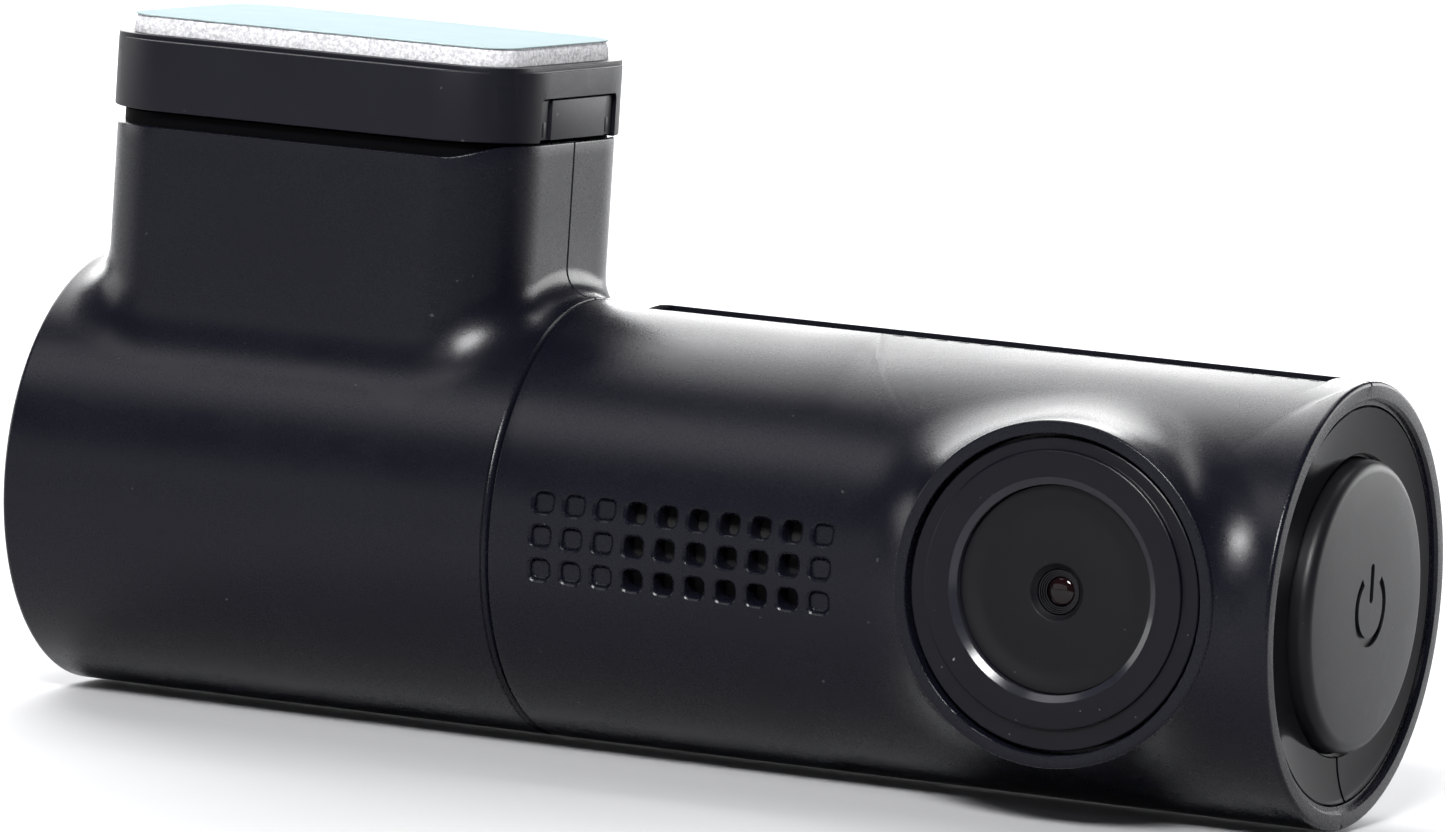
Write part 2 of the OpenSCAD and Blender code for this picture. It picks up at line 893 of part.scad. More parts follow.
module microphone() {
    color("#aeb0b4")
        rod_y(mic_x, -inner_r + 0.3, -inner_r + 2, axis_z + 0.5, 2);
}

module storage_cells() {
    color("#23365a")
        for (z = [-3.2, 3.2])
            translate([disc_x1 + 2.5, 9, axis_z + z])
                rotate([0, 90, 0])
                    cylinder(r = 2.5, h = 16);
}

module barrel_screws() {
    color("#6f7276")
        for (p = post_spots()) {
            rod_y(p[0], -5.6, head_y, axis_z + p[1], screw_r - 0.05);
            rod_y(p[0], head_y + 0.02, head_y + 1.1, axis_z + p[1], head_r);
        }
}

bracket_plate();
foam_pad();
release_liner();
base_front_shell();
base_rear_shell();
slide_rail();
release_tab();
pivot_sleeve();
friction_washer();
retaining_clip();
power_board();
power_socket();
socket_tongue();
power_coil();
power_harness();
base_screws();
barrel_front_shell();
barrel_rear_shell();
hinge_disc();
vent_grille();
end_carrier();
indicator_ring();
power_button();
button_switch();
button_board();
lens_bezel();
lens_face();
lens_tube();
front_lens();
rear_lens();
ir_filter();
lens_holder();
image_sensor();
sensor_board();
main_board();
processor();
memory_chip();
thermal_pad();
heat_spreader();
radio_module();
harness_socket();
card_socket();
memory_card();
speaker_frame();
speaker_cone();
speaker_magnet();
speaker_mesh();
microphone();
storage_cells();
barrel_screws();
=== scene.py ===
import json
import math

import bmesh
import bpy
import numpy as np
from mathutils import Matrix, Vector


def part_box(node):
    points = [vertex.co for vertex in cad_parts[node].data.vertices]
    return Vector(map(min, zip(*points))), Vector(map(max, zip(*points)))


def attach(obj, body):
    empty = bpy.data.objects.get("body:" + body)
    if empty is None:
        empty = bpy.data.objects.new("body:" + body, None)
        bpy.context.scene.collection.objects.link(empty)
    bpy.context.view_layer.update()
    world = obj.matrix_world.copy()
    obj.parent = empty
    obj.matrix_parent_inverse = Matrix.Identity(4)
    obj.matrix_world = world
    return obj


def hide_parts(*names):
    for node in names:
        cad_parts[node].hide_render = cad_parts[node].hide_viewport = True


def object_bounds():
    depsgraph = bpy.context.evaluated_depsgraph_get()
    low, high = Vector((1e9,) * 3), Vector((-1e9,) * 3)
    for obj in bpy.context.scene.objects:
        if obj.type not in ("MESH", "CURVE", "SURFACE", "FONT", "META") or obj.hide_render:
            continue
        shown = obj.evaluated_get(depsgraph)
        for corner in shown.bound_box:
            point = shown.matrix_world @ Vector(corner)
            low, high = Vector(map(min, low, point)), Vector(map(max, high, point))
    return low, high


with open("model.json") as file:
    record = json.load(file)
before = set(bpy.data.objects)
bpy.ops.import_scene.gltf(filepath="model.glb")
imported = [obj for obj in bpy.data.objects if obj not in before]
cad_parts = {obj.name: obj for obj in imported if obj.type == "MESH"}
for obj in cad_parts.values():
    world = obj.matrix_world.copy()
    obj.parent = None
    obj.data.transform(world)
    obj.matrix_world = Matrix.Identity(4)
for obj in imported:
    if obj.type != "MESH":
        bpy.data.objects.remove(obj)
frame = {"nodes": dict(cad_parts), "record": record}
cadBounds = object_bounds()
nodes = frame["nodes"]
mm = 0.001


def boxMm(name):
    low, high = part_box(name)
    return low / mm, high / mm


# the few places everything else is worked out from, in millimetres
frontLow, frontHigh = boxMm("base_front_shell")
barrelLow, barrelHigh = boxMm("barrel_rear_shell")
plateLow, plateHigh = boxMm("bracket_plate")
padLow, padHigh = boxMm("foam_pad")
linerLow, linerHigh = boxMm("release_liner")
tabLow, tabHigh = boxMm("release_tab")
buttonLow, buttonHigh = boxMm("power_button")
ringLow, ringHigh = boxMm("indicator_ring")
ventLow, ventHigh = boxMm("vent_grille")
bezelLow, bezelHigh = boxMm("lens_bezel")
faceLow, faceHigh = boxMm("lens_face")
glassLow, glassHigh = boxMm("front_lens")
cardLow, cardHigh = boxMm("memory_card")
socketLow, socketHigh = boxMm("power_socket")
railLow, railHigh = boxMm("slide_rail")
drumR = barrelHigh.y
axisZ = (barrelLow.z + barrelHigh.z) / 2
lensX = (bezelLow.x + bezelHigh.x) / 2
bossRise = (bezelLow.z + bezelHigh.z) / 2 - axisZ
faceRise = (faceLow.z + faceHigh.z) / 2 - axisZ
eyeRise = (glassLow.z + glassHigh.z) / 2 - axisZ
print("frame read")


# making meshes

def newPiece(name, verts, faces, sharpAngle=32):
    mesh = bpy.data.meshes.new(name)
    mesh.from_pydata([Vector(v) * mm for v in verts], [], faces)
    made = bmesh.new()
    made.from_mesh(mesh)
    bmesh.ops.remove_doubles(made, verts=made.verts, dist=1e-7)
    bmesh.ops.recalc_face_normals(made, faces=made.faces)
    made.to_mesh(mesh)
    made.free()
    piece = bpy.data.objects.new(name, mesh)
    bpy.context.scene.collection.objects.link(piece)
    smooth(piece, sharpAngle)
    return piece


def smooth(piece, sharpAngle=32):
    mesh = piece.data
    mesh.polygons.foreach_set("use_smooth", [True] * len(mesh.polygons))
    mesh.set_sharp_from_angle(angle=math.radians(sharpAngle))
    mesh.update()


# rings of equal length joined by quads; loop joins the last ring to the first
def skinRings(rings, caps=True, loop=False):
    count = len(rings[0])
    verts = [p for ring in rings for p in ring]
    faces = []
    last = len(rings) if loop else len(rings) - 1
    for k in range(last):
        a, b = k * count, ((k + 1) % len(rings)) * count
        for j in range(count):
            i = (j + 1) % count
            faces.append((a + j, a + i, b + i, b + j))
    if caps and not loop:
        faces.append(tuple(range(count))[::-1])
        faces.append(tuple(range((len(rings) - 1) * count, len(rings) * count)))
    return verts, faces


def circle(radius, steps):
    turn = 2 * math.pi / steps
    return [(radius * math.cos(i * turn), radius * math.sin(i * turn)) for i in range(steps)]


# quarter circle for a rounded edge, as (distance in, distance up) from its lower end
def quarter(size, steps):
    turns = [math.pi / 2 * i / steps for i in range(steps + 1)]
    return [(size * (1 - math.cos(turn)), size * math.sin(turn)) for turn in turns]


# places local (u, v, w): along the barrel, and out through the lens
def onBarrel(u, v, w):
    return (w, u, axisZ + v)


def onLens(rise):
    return lambda u, v, w: (lensX + u, -w, axisZ + rise + v)


# profile is (radius, distance, shift) and shift moves a ring's centre along v
def lathe(profile, place, steps=96, loop=False):
    rings = []
    for radius, w, *shift in profile:
        rings.append([place(u, v + sum(shift), w) for u, v in circle(radius, steps)])
    return skinRings(rings, loop=loop)


def roundRect(length, width, radius, cornerSteps=8, cx=0, cy=0):
    points = []
    for corner, (sx, sy) in enumerate([(1, 1), (-1, 1), (-1, -1), (1, -1)]):
        ox, oy = sx * (length / 2 - radius), sy * (width / 2 - radius)
        for i in range(cornerSteps + 1):
            angle = math.pi / 2 * (corner + i / cornerSteps)
            points.append((cx + ox + radius * math.cos(angle),
                           cy + oy + radius * math.sin(angle)))
    return points


# slab with rounded long edges, from bottom to top
def softSlab(length, width, radius, bottom, top, edge, steps=5, cornerSteps=10):
    rings = [(edge - up, bottom + inward) for inward, up in quarter(edge, steps)]
    rings += [(inset, top + bottom - z) for inset, z in reversed(rings)]
    loops = []
    for inset, z in rings:
        corner = max(radius - inset, 0.05)
        outline = roundRect(length - 2 * inset, width - 2 * inset, corner, cornerSteps)
        loops.append([(x, y, z) for x, y in outline])
    return skinRings(loops)


def block(low, high):
    (x0, y0, z0), (x1, y1, z1) = low, high
    rings = [[(x0, y0, z), (x1, y0, z), (x1, y1, z), (x0, y1, z)] for z in (z0, z1)]
    return skinRings(rings)


# straight bar along X with any closed section of (y, z) points
def barAlongX(section, x0, x1):
    return skinRings([[(x, y, z) for y, z in section] for x in (x0, x1)])


# makes a piece's modifiers real
def bake(piece):
    graph = bpy.context.evaluated_depsgraph_get()
    made = bpy.data.meshes.new_from_object(piece.evaluated_get(graph))
    piece.modifiers.clear()
    piece.data = made


# cuts a shape out of a piece, or joins it on
def carve(piece, shape, operation="DIFFERENCE"):
    cutter = newPiece("cutter", *shape)
    carveBy = piece.modifiers.new("carve", "BOOLEAN")
    carveBy.operation = operation
    carveBy.solver = "MANIFOLD"
    carveBy.object = cutter
    bake(piece)
    bpy.data.objects.remove(cutter)


def softenEdges(piece, width, segments=2, angle=40):
    bevel = piece.modifiers.new("soften", "BEVEL")
    bevel.width = width * mm
    bevel.segments = segments
    bevel.limit_method = "ANGLE"
    bevel.angle_limit = math.radians(angle)
    bake(piece)
    smooth(piece, 34)


def halfOf(piece, name, side):
    half = piece.copy()
    half.data = piece.data.copy()
    half.name = name
    bpy.context.scene.collection.objects.link(half)
    far = 100
    joint = 0.02  # half the gap between the two halves
    low = (-far, -far, -far) if side < 0 else (-far, joint, -far)
    high = (far, -joint, far) if side < 0 else (far, far, far)
    carve(half, block(low, high), "INTERSECT")
    smooth(half, 30)
    return half


# merges several shapes that don't touch into one
def together(*shapes):
    verts, faces = [], []
    for shapeVerts, shapeFaces in shapes:
        start = len(verts)
        verts += shapeVerts
        faces += [tuple(start + i for i in face) for face in shapeFaces]
    return verts, faces


# drums with a tower that blends in

# signed distance of a rounded rectangle, and its ray hit and outward normal
def rectDistance(a, b, halfA, halfB, corner):
    qa, qb = abs(a) - halfA + corner, abs(b) - halfB + corner
    return math.hypot(max(qa, 0), max(qb, 0)) + min(max(qa, qb), 0) - corner


def rectOutline(halfA, halfB, corner):
    def distance(a, b):
        return rectDistance(a, b, halfA, halfB, corner)

    def hit(a, b):
        low, high = 0.0, 1.0
        for _ in range(40):
            middle = (low + high) / 2
            if distance(a * middle, b * middle) < 0:
                low = middle
            else:
                high = middle
        pa, pb = a * low, b * low
        step = 1e-4
        na = distance(pa + step, pb) - distance(pa - step, pb)
        nb = distance(pa, pb + step) - distance(pa, pb - step)
        size = math.hypot(na, nb)
        return (pa, pb), (na / size, nb / size)
    return hit


def roundOutline(radius):
    def hit(a, b):
        size = math.hypot(a, b)
        return (a / size * radius, b / size * radius), (a / size, b / size)
    return hit


# a ball of this radius rolls in the corner between the drum and the wall, whose lip is at top;
# against a wall too low for it, the ball leans on the lip
def rollingFillet(point, normal, height, radius, top, steps):
    reach = np.linspace(0, 2.6 * radius, 240)
    surface = height(point[0] + normal[0] * reach, point[1] + normal[1] * reach)

    def gap(centre):
        return np.min(np.hypot(reach - centre[0], surface - centre[1]))

    def solve(centreAt, low, high):
        for _ in range(30):
            middle = (low + high) / 2
            if gap(centreAt(middle)) < radius:
                low = middle
            else:
                high = middle
        return centreAt(high)

    across, up = solve(lambda h: (radius, h), surface[0], surface[0] + 2 * radius)
    if up > top:
        across, up = solve(lambda a: (radius * math.sin(a), top + radius * math.cos(a)),
                           math.pi / 2, 0)
    best = int(np.argmin(np.hypot(reach - across, surface - up)))
    start = math.atan2(surface[best] - up, reach[best] - across)
    end = math.atan2(min(top, up) - up, -across)
    if end > 0:
        end -= 2 * math.pi
    points = []
    for i in range(steps + 1):
        angle = start + (end - start) * i / steps
        points.append((across + radius * math.cos(angle), up + radius * math.sin(angle)))
    points[-1] = (0, points[-1][1])
    return points


# profile is (x, radius) from end to end; angles are degrees from -Y towards +Z
def drumWithTower(profile, angles, columns, rows, towerPath):
    def at(k, j):
        x, radius = profile[k]
        turn = math.radians(angles[j])
        return (x, -radius * math.cos(turn), axisZ + radius * math.sin(turn))

    count = len(angles)
    verts = [at(k, j) for k in range(len(profile)) for j in range(count)]
    faces = []
    k0, k1 = columns
    j0, j1 = rows
    for k in range(len(profile) - 1):
        for j in range(count):
            if k0 <= k < k1 and j0 <= j < j1:
                continue
            i = (j + 1) % count
            here, ahead = k * count, (k + 1) * count
            faces.append((here + j, ahead + j, ahead + i, here + i))
    faces.append(tuple(range(count)))
    faces.append(tuple(reversed(range((len(profile) - 1) * count, len(profile) * count))))
    rim = [k * count + j0 for k in range(k0, k1)]
    rim += [k1 * count + j for j in range(j0, j1)]
    rim += [k * count + j1 for k in range(k1, k0, -1)]
    rim += [k0 * count + j for j in range(j1, j0, -1)]
    paths = [towerPath(verts[i]) for i in rim]
    before = rim
    for depth in range(len(paths[0])):
        ring = list(range(len(verts), len(verts) + len(rim)))
        verts += [path[depth] for path in paths]
        for i in range(len(rim)):
            n = (i + 1) % len(rim)
            faces.append((before[i], before[n], ring[n], ring[i]))
        before = ring
    faces.append(tuple(before))
    return verts, faces


def spread(low, high, step):
    count = max(1, round((high - low) / step))
    return [low + (high - low) * i / count for i in range(count + 1)]


def edgeRound(x, radius, direction, steps=5):
    points = [(x + direction * inward, drumR - radius + up)
              for inward, up in quarter(radius, steps)]
    return points if direction > 0 else points[::-1]


# the spot this far out from a wall, along its normal
def outFrom(point, normal, reach):
    return point[0] + normal[0] * reach, point[1] + normal[1] * reach


# three spots on the way from the rim of the patch to the foot of the blend
def stepsTo(foot, a, b):
    return [(a + (foot[0] - a) * t, b + (foot[1] - b) * t) for t in (0.25, 0.5, 0.75)]


# dips the mould's parting line, where the two half shells meet
def partingGroove(piece, depth):
    mesh = piece.data
    normals = [v.normal.copy() for v in mesh.vertices]
    for v, normal in zip(mesh.vertices, normals):
        if abs(v.co.y) < 1e-7:
            v.co -= Vector((normal.x, 0, normal.z)) * depth * mm
    mesh.update()


groove = {
    "half": 0.55,  # degrees each side of the parting line
    "depth": 0.13,
}


# angles round a drum in degrees: fine from low to high, coarse elsewhere
def drumAngles(low, high, fine=2.0, coarse=2.5):
    marks = set(round(a, 4) for a in spread(-180, low, coarse)[:-1])
    marks |= set(round(a, 4) for a in spread(low, high, fine))
    marks |= set(round(a, 4) for a in spread(high, 180, coarse)[:-1])
    half = groove["half"]
    for line in (-90, 90):
        marks = set(a for a in marks if abs(a - line) > half * 1.7)
        marks |= {line, line - half, line + half}
    return sorted(marks)


# shader building

class Wire:
    def __init__(self, tree, socket):
        self.tree = tree
        self.socket = socket

    def maths(self, operation, first, second):
        made = self.tree.nodes.new("ShaderNodeMath")
        made.operation = operation
        for value, socket in zip((first, second), made.inputs):
            if isinstance(value, Wire):
                self.tree.links.new(value.socket, socket)
            else:
                socket.default_value = value
        return Wire(self.tree, made.outputs[0])

    def __add__(self, other):
        return self.maths("ADD", self, other)

    def __radd__(self, other):
        return self.maths("ADD", other, self)

    def __sub__(self, other):
        return self.maths("SUBTRACT", self, other)

    def __rsub__(self, other):
        return self.maths("SUBTRACT", other, self)

    def __mul__(self, other):
        return self.maths("MULTIPLY", self, other)

    def __rmul__(self, other):
        return self.maths("MULTIPLY", other, self)


class Finish:
    def __init__(self, name):
        self.material = bpy.data.materials.new(name)
        self.material.use_nodes = True
        self.tree = self.material.node_tree
        self.shader = next(n for n in self.tree.nodes if n.type == "BSDF_PRINCIPLED")

    def node(self, kind, settings=None, inputs=None, output=0):
        made = self.tree.nodes.new(kind)
        for name, value in (settings or {}).items():
            setattr(made, name, value)
        self.feed(made, inputs or {})
        return Wire(self.tree, made.outputs[output])

    def feed(self, made, inputs):
        for key, value in inputs.items():
            socket = made.inputs[key]
            if isinstance(value, Wire):
                self.tree.links.new(value.socket, socket)
            else:
                socket.default_value = value

    def set(self, **values):
        named = {"color": "Base Color", "roughness": "Roughness", "metallic": "Metallic",
                 "normal": "Normal", "specular": "Specular IOR Level"}
        self.feed(self.shader, {named[key]: value for key, value in values.items()})

    # noise on the object's own coordinates; grainMm is the size of a grain
    def noise(self, grainMm, detail=2.0, stretch=(1, 1, 1), rough=0.5):
        place = self.node("ShaderNodeTexCoord", output=3)
        scaled = self.node("ShaderNodeMapping", {}, {0: place, "Scale": stretch})
        return self.node("ShaderNodeTexNoise", {}, {
            "Vector": scaled, "Scale": 1 / (grainMm * mm), "Detail": detail, "Roughness": rough})

    def blend(self, factor, first, second):
        return self.node("ShaderNodeMix", {"data_type": "RGBA"},
                         {0: factor, 6: first, 7: second}, output=2)

    def between(self, value, low, high):
        return self.node("ShaderNodeMapRange", {"clamp": True}, {
            0: value, "From Min": low, "From Max": high, "To Min": 0.0, "To Max": 1.0})

    def bump(self, height, strength, depthMm):
        return self.node("ShaderNodeBump", {}, {
            "Height": height, "Strength": strength, "Distance": depthMm * mm})


def rgb(r, g, b):
    return (r, g, b, 1)


def mouldedPlastic(name, look):
    made = Finish(name)
    grain = made.noise(look["grain"], 3.0, rough=0.62)
    cloud = made.noise(look["cloud"], 2.0)
    specks = made.between(made.noise(look["speck"], 1.0), 0.79, 0.83)
    rubbed = made.between(made.noise(2.2, 4.0, (0.35, 1, 1)), 0.56, 0.72)
    dark, pale = look["dark"], look["pale"]
    color = made.blend(cloud * 0.6 + grain * 0.4, rgb(*dark), rgb(*pale))
    color = made.blend(specks * look["dust"], color, rgb(0.32, 0.32, 0.34))
    rough = look["rough"] + (grain - 0.5) * look["roughSpread"]
    rough = rough + (cloud - 0.5) * 0.08 - rubbed * 0.04
    normal = made.bump(grain, look["bump"], look["bumpDepth"])
    made.set(color=color, roughness=rough, normal=normal, specular=look["specular"])
    return made.material


plasticBase = {"grain": 0.13, "cloud": 5.0, "speck": 0.5, "dust": 0.2, "rough": 0.44,
               "roughSpread": 0.14, "bump": 0.5, "bumpDepth": 0.02, "specular": 0.2,
               "dark": (0.0028, 0.0028, 0.0056), "pale": (0.0052, 0.0052, 0.0096)}
plasticLook = {
    "shell": {"cloud": 6.0, "speck": 0.55, "dust": 0.1, "rough": 0.27},
    "bracket": {"speck": 0.6, "dust": 0.15, "roughSpread": 0.16},
    "bezel": {"grain": 0.1, "cloud": 4.0, "speck": 0.35, "dust": 0.5, "rough": 0.34,
              "roughSpread": 0.1, "bump": 0.3, "bumpDepth": 0.006,
              "dark": (0.002, 0.002, 0.0038), "pale": (0.0036, 0.0036, 0.0065)},
    "lensFace": {"grain": 0.09, "cloud": 3.0, "speck": 0.35, "dust": 0.3, "rough": 0.5,
                 "roughSpread": 0.1, "bump": 0.3, "bumpDepth": 0.006,
                 "dark": (0.0018, 0.0018, 0.003), "pale": (0.003, 0.003, 0.005)},
    "button": {"grain": 0.15, "rough": 0.4, "bumpDepth": 0.01,
               "dark": (0.004, 0.004, 0.0052), "pale": (0.007, 0.007, 0.009)},
    "inner": {"grain": 0.12, "cloud": 3.0, "dust": 0.1, "rough": 0.5, "roughSpread": 0.12,
              "bump": 0.3, "bumpDepth": 0.01, "specular": 0.4,
              "dark": (0.008, 0.008, 0.009), "pale": (0.015, 0.015, 0.016)},
}
plastics = {name: mouldedPlastic(name + "Plastic", {**plasticBase, **look})
            for name, look in plasticLook.items()}


def metal(name, color, rough, stretch=(1, 1, 1)):
    made = Finish(name)
    brushed = made.noise(0.12, 3.0, stretch)
    cloud = made.noise(3.0)
    shade = made.blend(cloud * 0.7 + brushed * 0.3, rgb(*color), rgb(*[c * 0.7 for c in color]))
    made.set(color=shade, roughness=rough + (brushed - 0.5) * 0.2, metallic=1.0,
             normal=made.bump(brushed, 0.15, 0.004))
    return made.material


def speckled(name, dark, pale, grain, rough, depth=0.01, metallic=0.0):
    made = Finish(name)
    fleck = made.noise(grain, 4.0, rough=0.7)
    cloud = made.noise(grain * 20)
    shade = made.blend(made.between(fleck * 0.7 + cloud * 0.3, 0.35, 0.65), rgb(*dark), rgb(*pale))
    made.set(color=shade, roughness=rough + (fleck - 0.5) * 0.15, metallic=metallic,
             normal=made.bump(fleck, 0.3, depth))
    return made.material


# smooth surface with a faint haze in its colour and roughness
def hazed(name, first, second, sizeMm, rough, roughGain, specular, detail=3.0):
    made = Finish(name)
    haze = made.noise(sizeMm, detail)
    made.set(color=made.blend(haze, rgb(*first), rgb(*second)),
             roughness=rough + haze * roughGain, specular=specular)
    return made.material


def foam():
    made = Finish("adhesiveFoam")
    cells = made.node("ShaderNodeTexVoronoi", {}, {
        "Vector": made.node("ShaderNodeTexCoord", output=3), "Scale": 1 / (0.22 * mm)})
    fleck = made.noise(0.3, 4.0, rough=0.7)
    shade = made.blend(made.between(fleck, 0.38, 0.6), rgb(0.4, 0.4, 0.42), rgb(0.72, 0.71, 0.73))
    made.set(color=shade, roughness=0.85 + (fleck - 0.5) * 0.1,
             normal=made.bump(cells * 0.6 + fleck, 0.7, 0.05))
    return made.material


def filmFinish():
    made = Finish("releaseFilm")
    ripple = made.noise(4.0, 2.0)
    fine = made.noise(0.3, 3.0)
    made.set(color=made.blend(ripple, rgb(0.32, 0.4, 0.42), rgb(0.37, 0.44, 0.45)),
             roughness=0.8 + (fine - 0.5) * 0.1, specular=0.0,
             normal=made.bump(ripple + fine * 0.2, 0.2, 0.02))
    return made.material


smoked = hazed("smokedGloss", (0.004, 0.004, 0.005), (0.009, 0.009, 0.011),
               2.5, 0.04, 0.04, 0.06)
glass = hazed("coatedGlass", (0.008, 0.001, 0.002), (0.002, 0.003, 0.003),
              0.8, 0.03, 0.03, 0.3, detail=2.0)
# plastic polished enough to mirror the lights
polished = hazed("polishedPlastic", (0.01, 0.01, 0.014), (0.016, 0.016, 0.022),
                 1.5, 0.14, 0.06, 0.35)
# painted shade: plastic deep in a gap, given a near-black colour that barely reflects so it stands
# in for the shadow there
shade = hazed("paintedGapShade", (0.0008, 0.0008, 0.0012), (0.0016, 0.0016, 0.0022),
              0.2, 0.7, 0.1, 0.04)
metals = {
    "spring_steel": metal("springSteel", (0.55, 0.56, 0.58), 0.3),
    "socket_metal": metal("socketMetal", (0.62, 0.62, 0.64), 0.28, (1, 8, 8)),
    "screw_steel": metal("screwSteel", (0.2, 0.2, 0.22), 0.35),
    "tube_black": metal("anodisedBlack", (0.03, 0.03, 0.033), 0.35),
    "heat_metal": metal("pressedAluminium", (0.6, 0.61, 0.63), 0.4, (8, 1, 1)),
    "can_metal": metal("tinnedCan", (0.6, 0.61, 0.62), 0.33),
    "magnet_metal": metal("nickelCup", (0.55, 0.55, 0.57), 0.2),
}
goldMetal = metal("goldContact", (0.85, 0.62, 0.25), 0.25)
others = {
    "rail_plastic": plastics["inner"], "sleeve_plastic": plastics["inner"],
    "inner_plastic": plastics["inner"], "vent_plastic": plastics["inner"],
    "ring_gloss": smoked, "coated_glass": glass,
    "foam": foam(), "liner_film": filmFinish(),
    "board_green": speckled("solderMask", (0.008, 0.055, 0.026), (0.014, 0.085, 0.04), 0.3, 0.35),
    "chip_black": speckled("epoxy", (0.012, 0.012, 0.013), (0.022, 0.022, 0.024), 0.08, 0.55),
    "lead_red": speckled("leadCover", (0.25, 0.012, 0.012), (0.34, 0.02, 0.02), 0.2, 0.45),
    "filter_glass": speckled("filterGlass", (0.05, 0.2, 0.22), (0.08, 0.28, 0.3), 1.0, 0.08, 0),
    "sensor_silicon": speckled("sensorDie", (0.02, 0.03, 0.05), (0.05, 0.04, 0.08), 0.4, 0.15, 0),
    "pad_blue": speckled("thermalPad", (0.16, 0.27, 0.36), (0.22, 0.34, 0.43), 0.2, 0.8),
    "connector_white": speckled("nylonWhite", (0.6, 0.58, 0.52), (0.68, 0.66, 0.6), 0.3, 0.4),
    "card_plastic": speckled("cardBody", (0.012, 0.012, 0.014), (0.02, 0.02, 0.024), 0.12, 0.4),
    "cone_film": speckled("coneFilm", (0.05, 0.05, 0.055), (0.08, 0.08, 0.085), 0.4, 0.4),
    "mesh_cloth": speckled("dustCloth", (0.001, 0.001, 0.0015), (0.004, 0.004, 0.005), 0.1, 0.9),
    "cell_sleeve": speckled("cellSleeve", (0.01, 0.03, 0.1), (0.015, 0.045, 0.13), 0.5, 0.25),
}
slotLook = {**metals, **others, "shell_plastic": plastics["shell"],
            "bracket_plastic": plastics["bracket"], "tab_plastic": plastics["bracket"],
            "button_plastic": plastics["button"], "bezel_plastic": plastics["bezel"],
            "face_plastic": plastics["lensFace"]}
for part in frame["record"]["subparts"]:
    dressed = nodes[part["node"]]
    dressed.data.materials.clear()
    dressed.data.materials.append(slotLook[part["material_slot"]])
print("materials made")


# dresses a piece and tells the frame which body carries it
def place(piece, body, slotName, replaces=(), material=None):
    piece.data.materials.clear()
    piece.data.materials.append(material or slotLook[slotName])
    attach(piece, body)
    if replaces:
        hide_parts(*replaces)


# a ring turned from a profile, dressed and placed on the barrel
def turned(name, profile, at, steps, slotName, replaces=(), material=None):
    piece = newPiece(name, *lathe(profile, at, steps, loop=True), 24)
    place(piece, "barrel", slotName, replaces, material)


# cuts a finished drum into its front and rear shells
def placeShells(outer, body):
    front = halfOf(outer, body + "FrontShell", -1)
    rear = halfOf(outer, body + "RearShell", 1)
    bpy.data.objects.remove(outer)
    place(front, body, "shell_plastic", [body + "_front_shell"])
    place(rear, body, "shell_plastic", [body + "_rear_shell"])


# base with its riser

base = {
    "endEdge": 0.4,  # rounding at the closed end
    "seamEdge": 0.5,  # rounding at the turning seam
    "gapDepth": 0.5,  # how far the shadow gap under the plate goes in
    "gapWall": 1.0,  # thickness of the band that closes the gap
    "sideBlend": 1.9,  # blend radius under the riser's ends
    "frontBlend": 8.0,  # blend radius under the riser's long faces
    "topEdge": 0.12,  # rounding round the riser's top
    "rampStart": 11.3,  # where the top edge starts to climb to the shoulder
    "rampLength": 4.4,
    "wall": 1.6,
    "inset": 0.25,  # from the plate's edge to the riser's
    "corner": 6.25,
    "shoulder": 0.95,  # how much the shoulder stands above the rest
    "sleeve": 6.15,  # radius of the bearing for the turning sleeve
    "neckHalf": 3.1,  # half width of the slot for the rail's neck
    "socketGap": 0.3,
    "screwX": 5.0,  # screws, from the closed end and from the axis
    "screwRise": 8.0,
    "meshStep": 0.6,
}
riserHalfA = (plateHigh.x - plateLow.x) / 2 - base["inset"]
riserHalfB = (plateHigh.y - plateLow.y) / 2 - base["inset"]
riserTop = frontHigh.z - axisZ
riserLow = riserTop - base["shoulder"]


def riserHeight(a):
    t = min(max((a - base["rampStart"]) / base["rampLength"], 0), 1)
    return riserLow + (riserTop - riserLow) * t * t * (3 - 2 * t)


# the drum's height, falling away past its outline
def heightUnder(square):
    return np.where(square > 0, np.sqrt(np.maximum(square, 0)), -4 * drumR)


def drumHeight(a, b):
    return heightUnder(drumR * drumR - b * b)


riserOutline = rectOutline(riserHalfA, riserHalfB, base["corner"])


# from the rim of the patch to the blend, up the wall and over the riser's top
def riserPath(q):
    point, normal = riserOutline(q[0], q[1])
    share = min(abs(normal[1]) * 1.15, 1) ** 1.6
    radius = base["sideBlend"] + (base["frontBlend"] - base["sideBlend"]) * share
    arc = rollingFillet(point, normal, drumHeight, radius, riserLow - 1, 12)
    path = [(a, b, axisZ + float(drumHeight(a, b)))
            for a, b in stepsTo(outFrom(point, normal, arc[0][0]), q[0], q[1])]
    path += [(*outFrom(point, normal, reach), axisZ + height) for reach, height in arc]
    top = riserHeight(point[0])
    edge = base["topEdge"]
    startHeight = arc[-1][1]
    for t in (0.5, 0.9):
        path.append((point[0], point[1], axisZ + startHeight + (top - edge - startHeight) * t))
    path += [(*outFrom(point, normal, -inset), axisZ + top - edge + lift)
             for inset, lift in quarter(edge, 5)]
    for scale in (0.9, 0.7, 0.4, 0.1):
        a, b = point[0] * scale, point[1] * scale
        path.append((a, b, axisZ + riserHeight(a)))
    return path


# slab with the riser's outline, drawn in by inset
def riserSlab(inset, bottom, top, edge):
    return softSlab(2 * (riserHalfA - inset), 2 * (riserHalfB - inset), base["corner"] - inset,
                    axisZ + bottom, axisZ + top, edge)


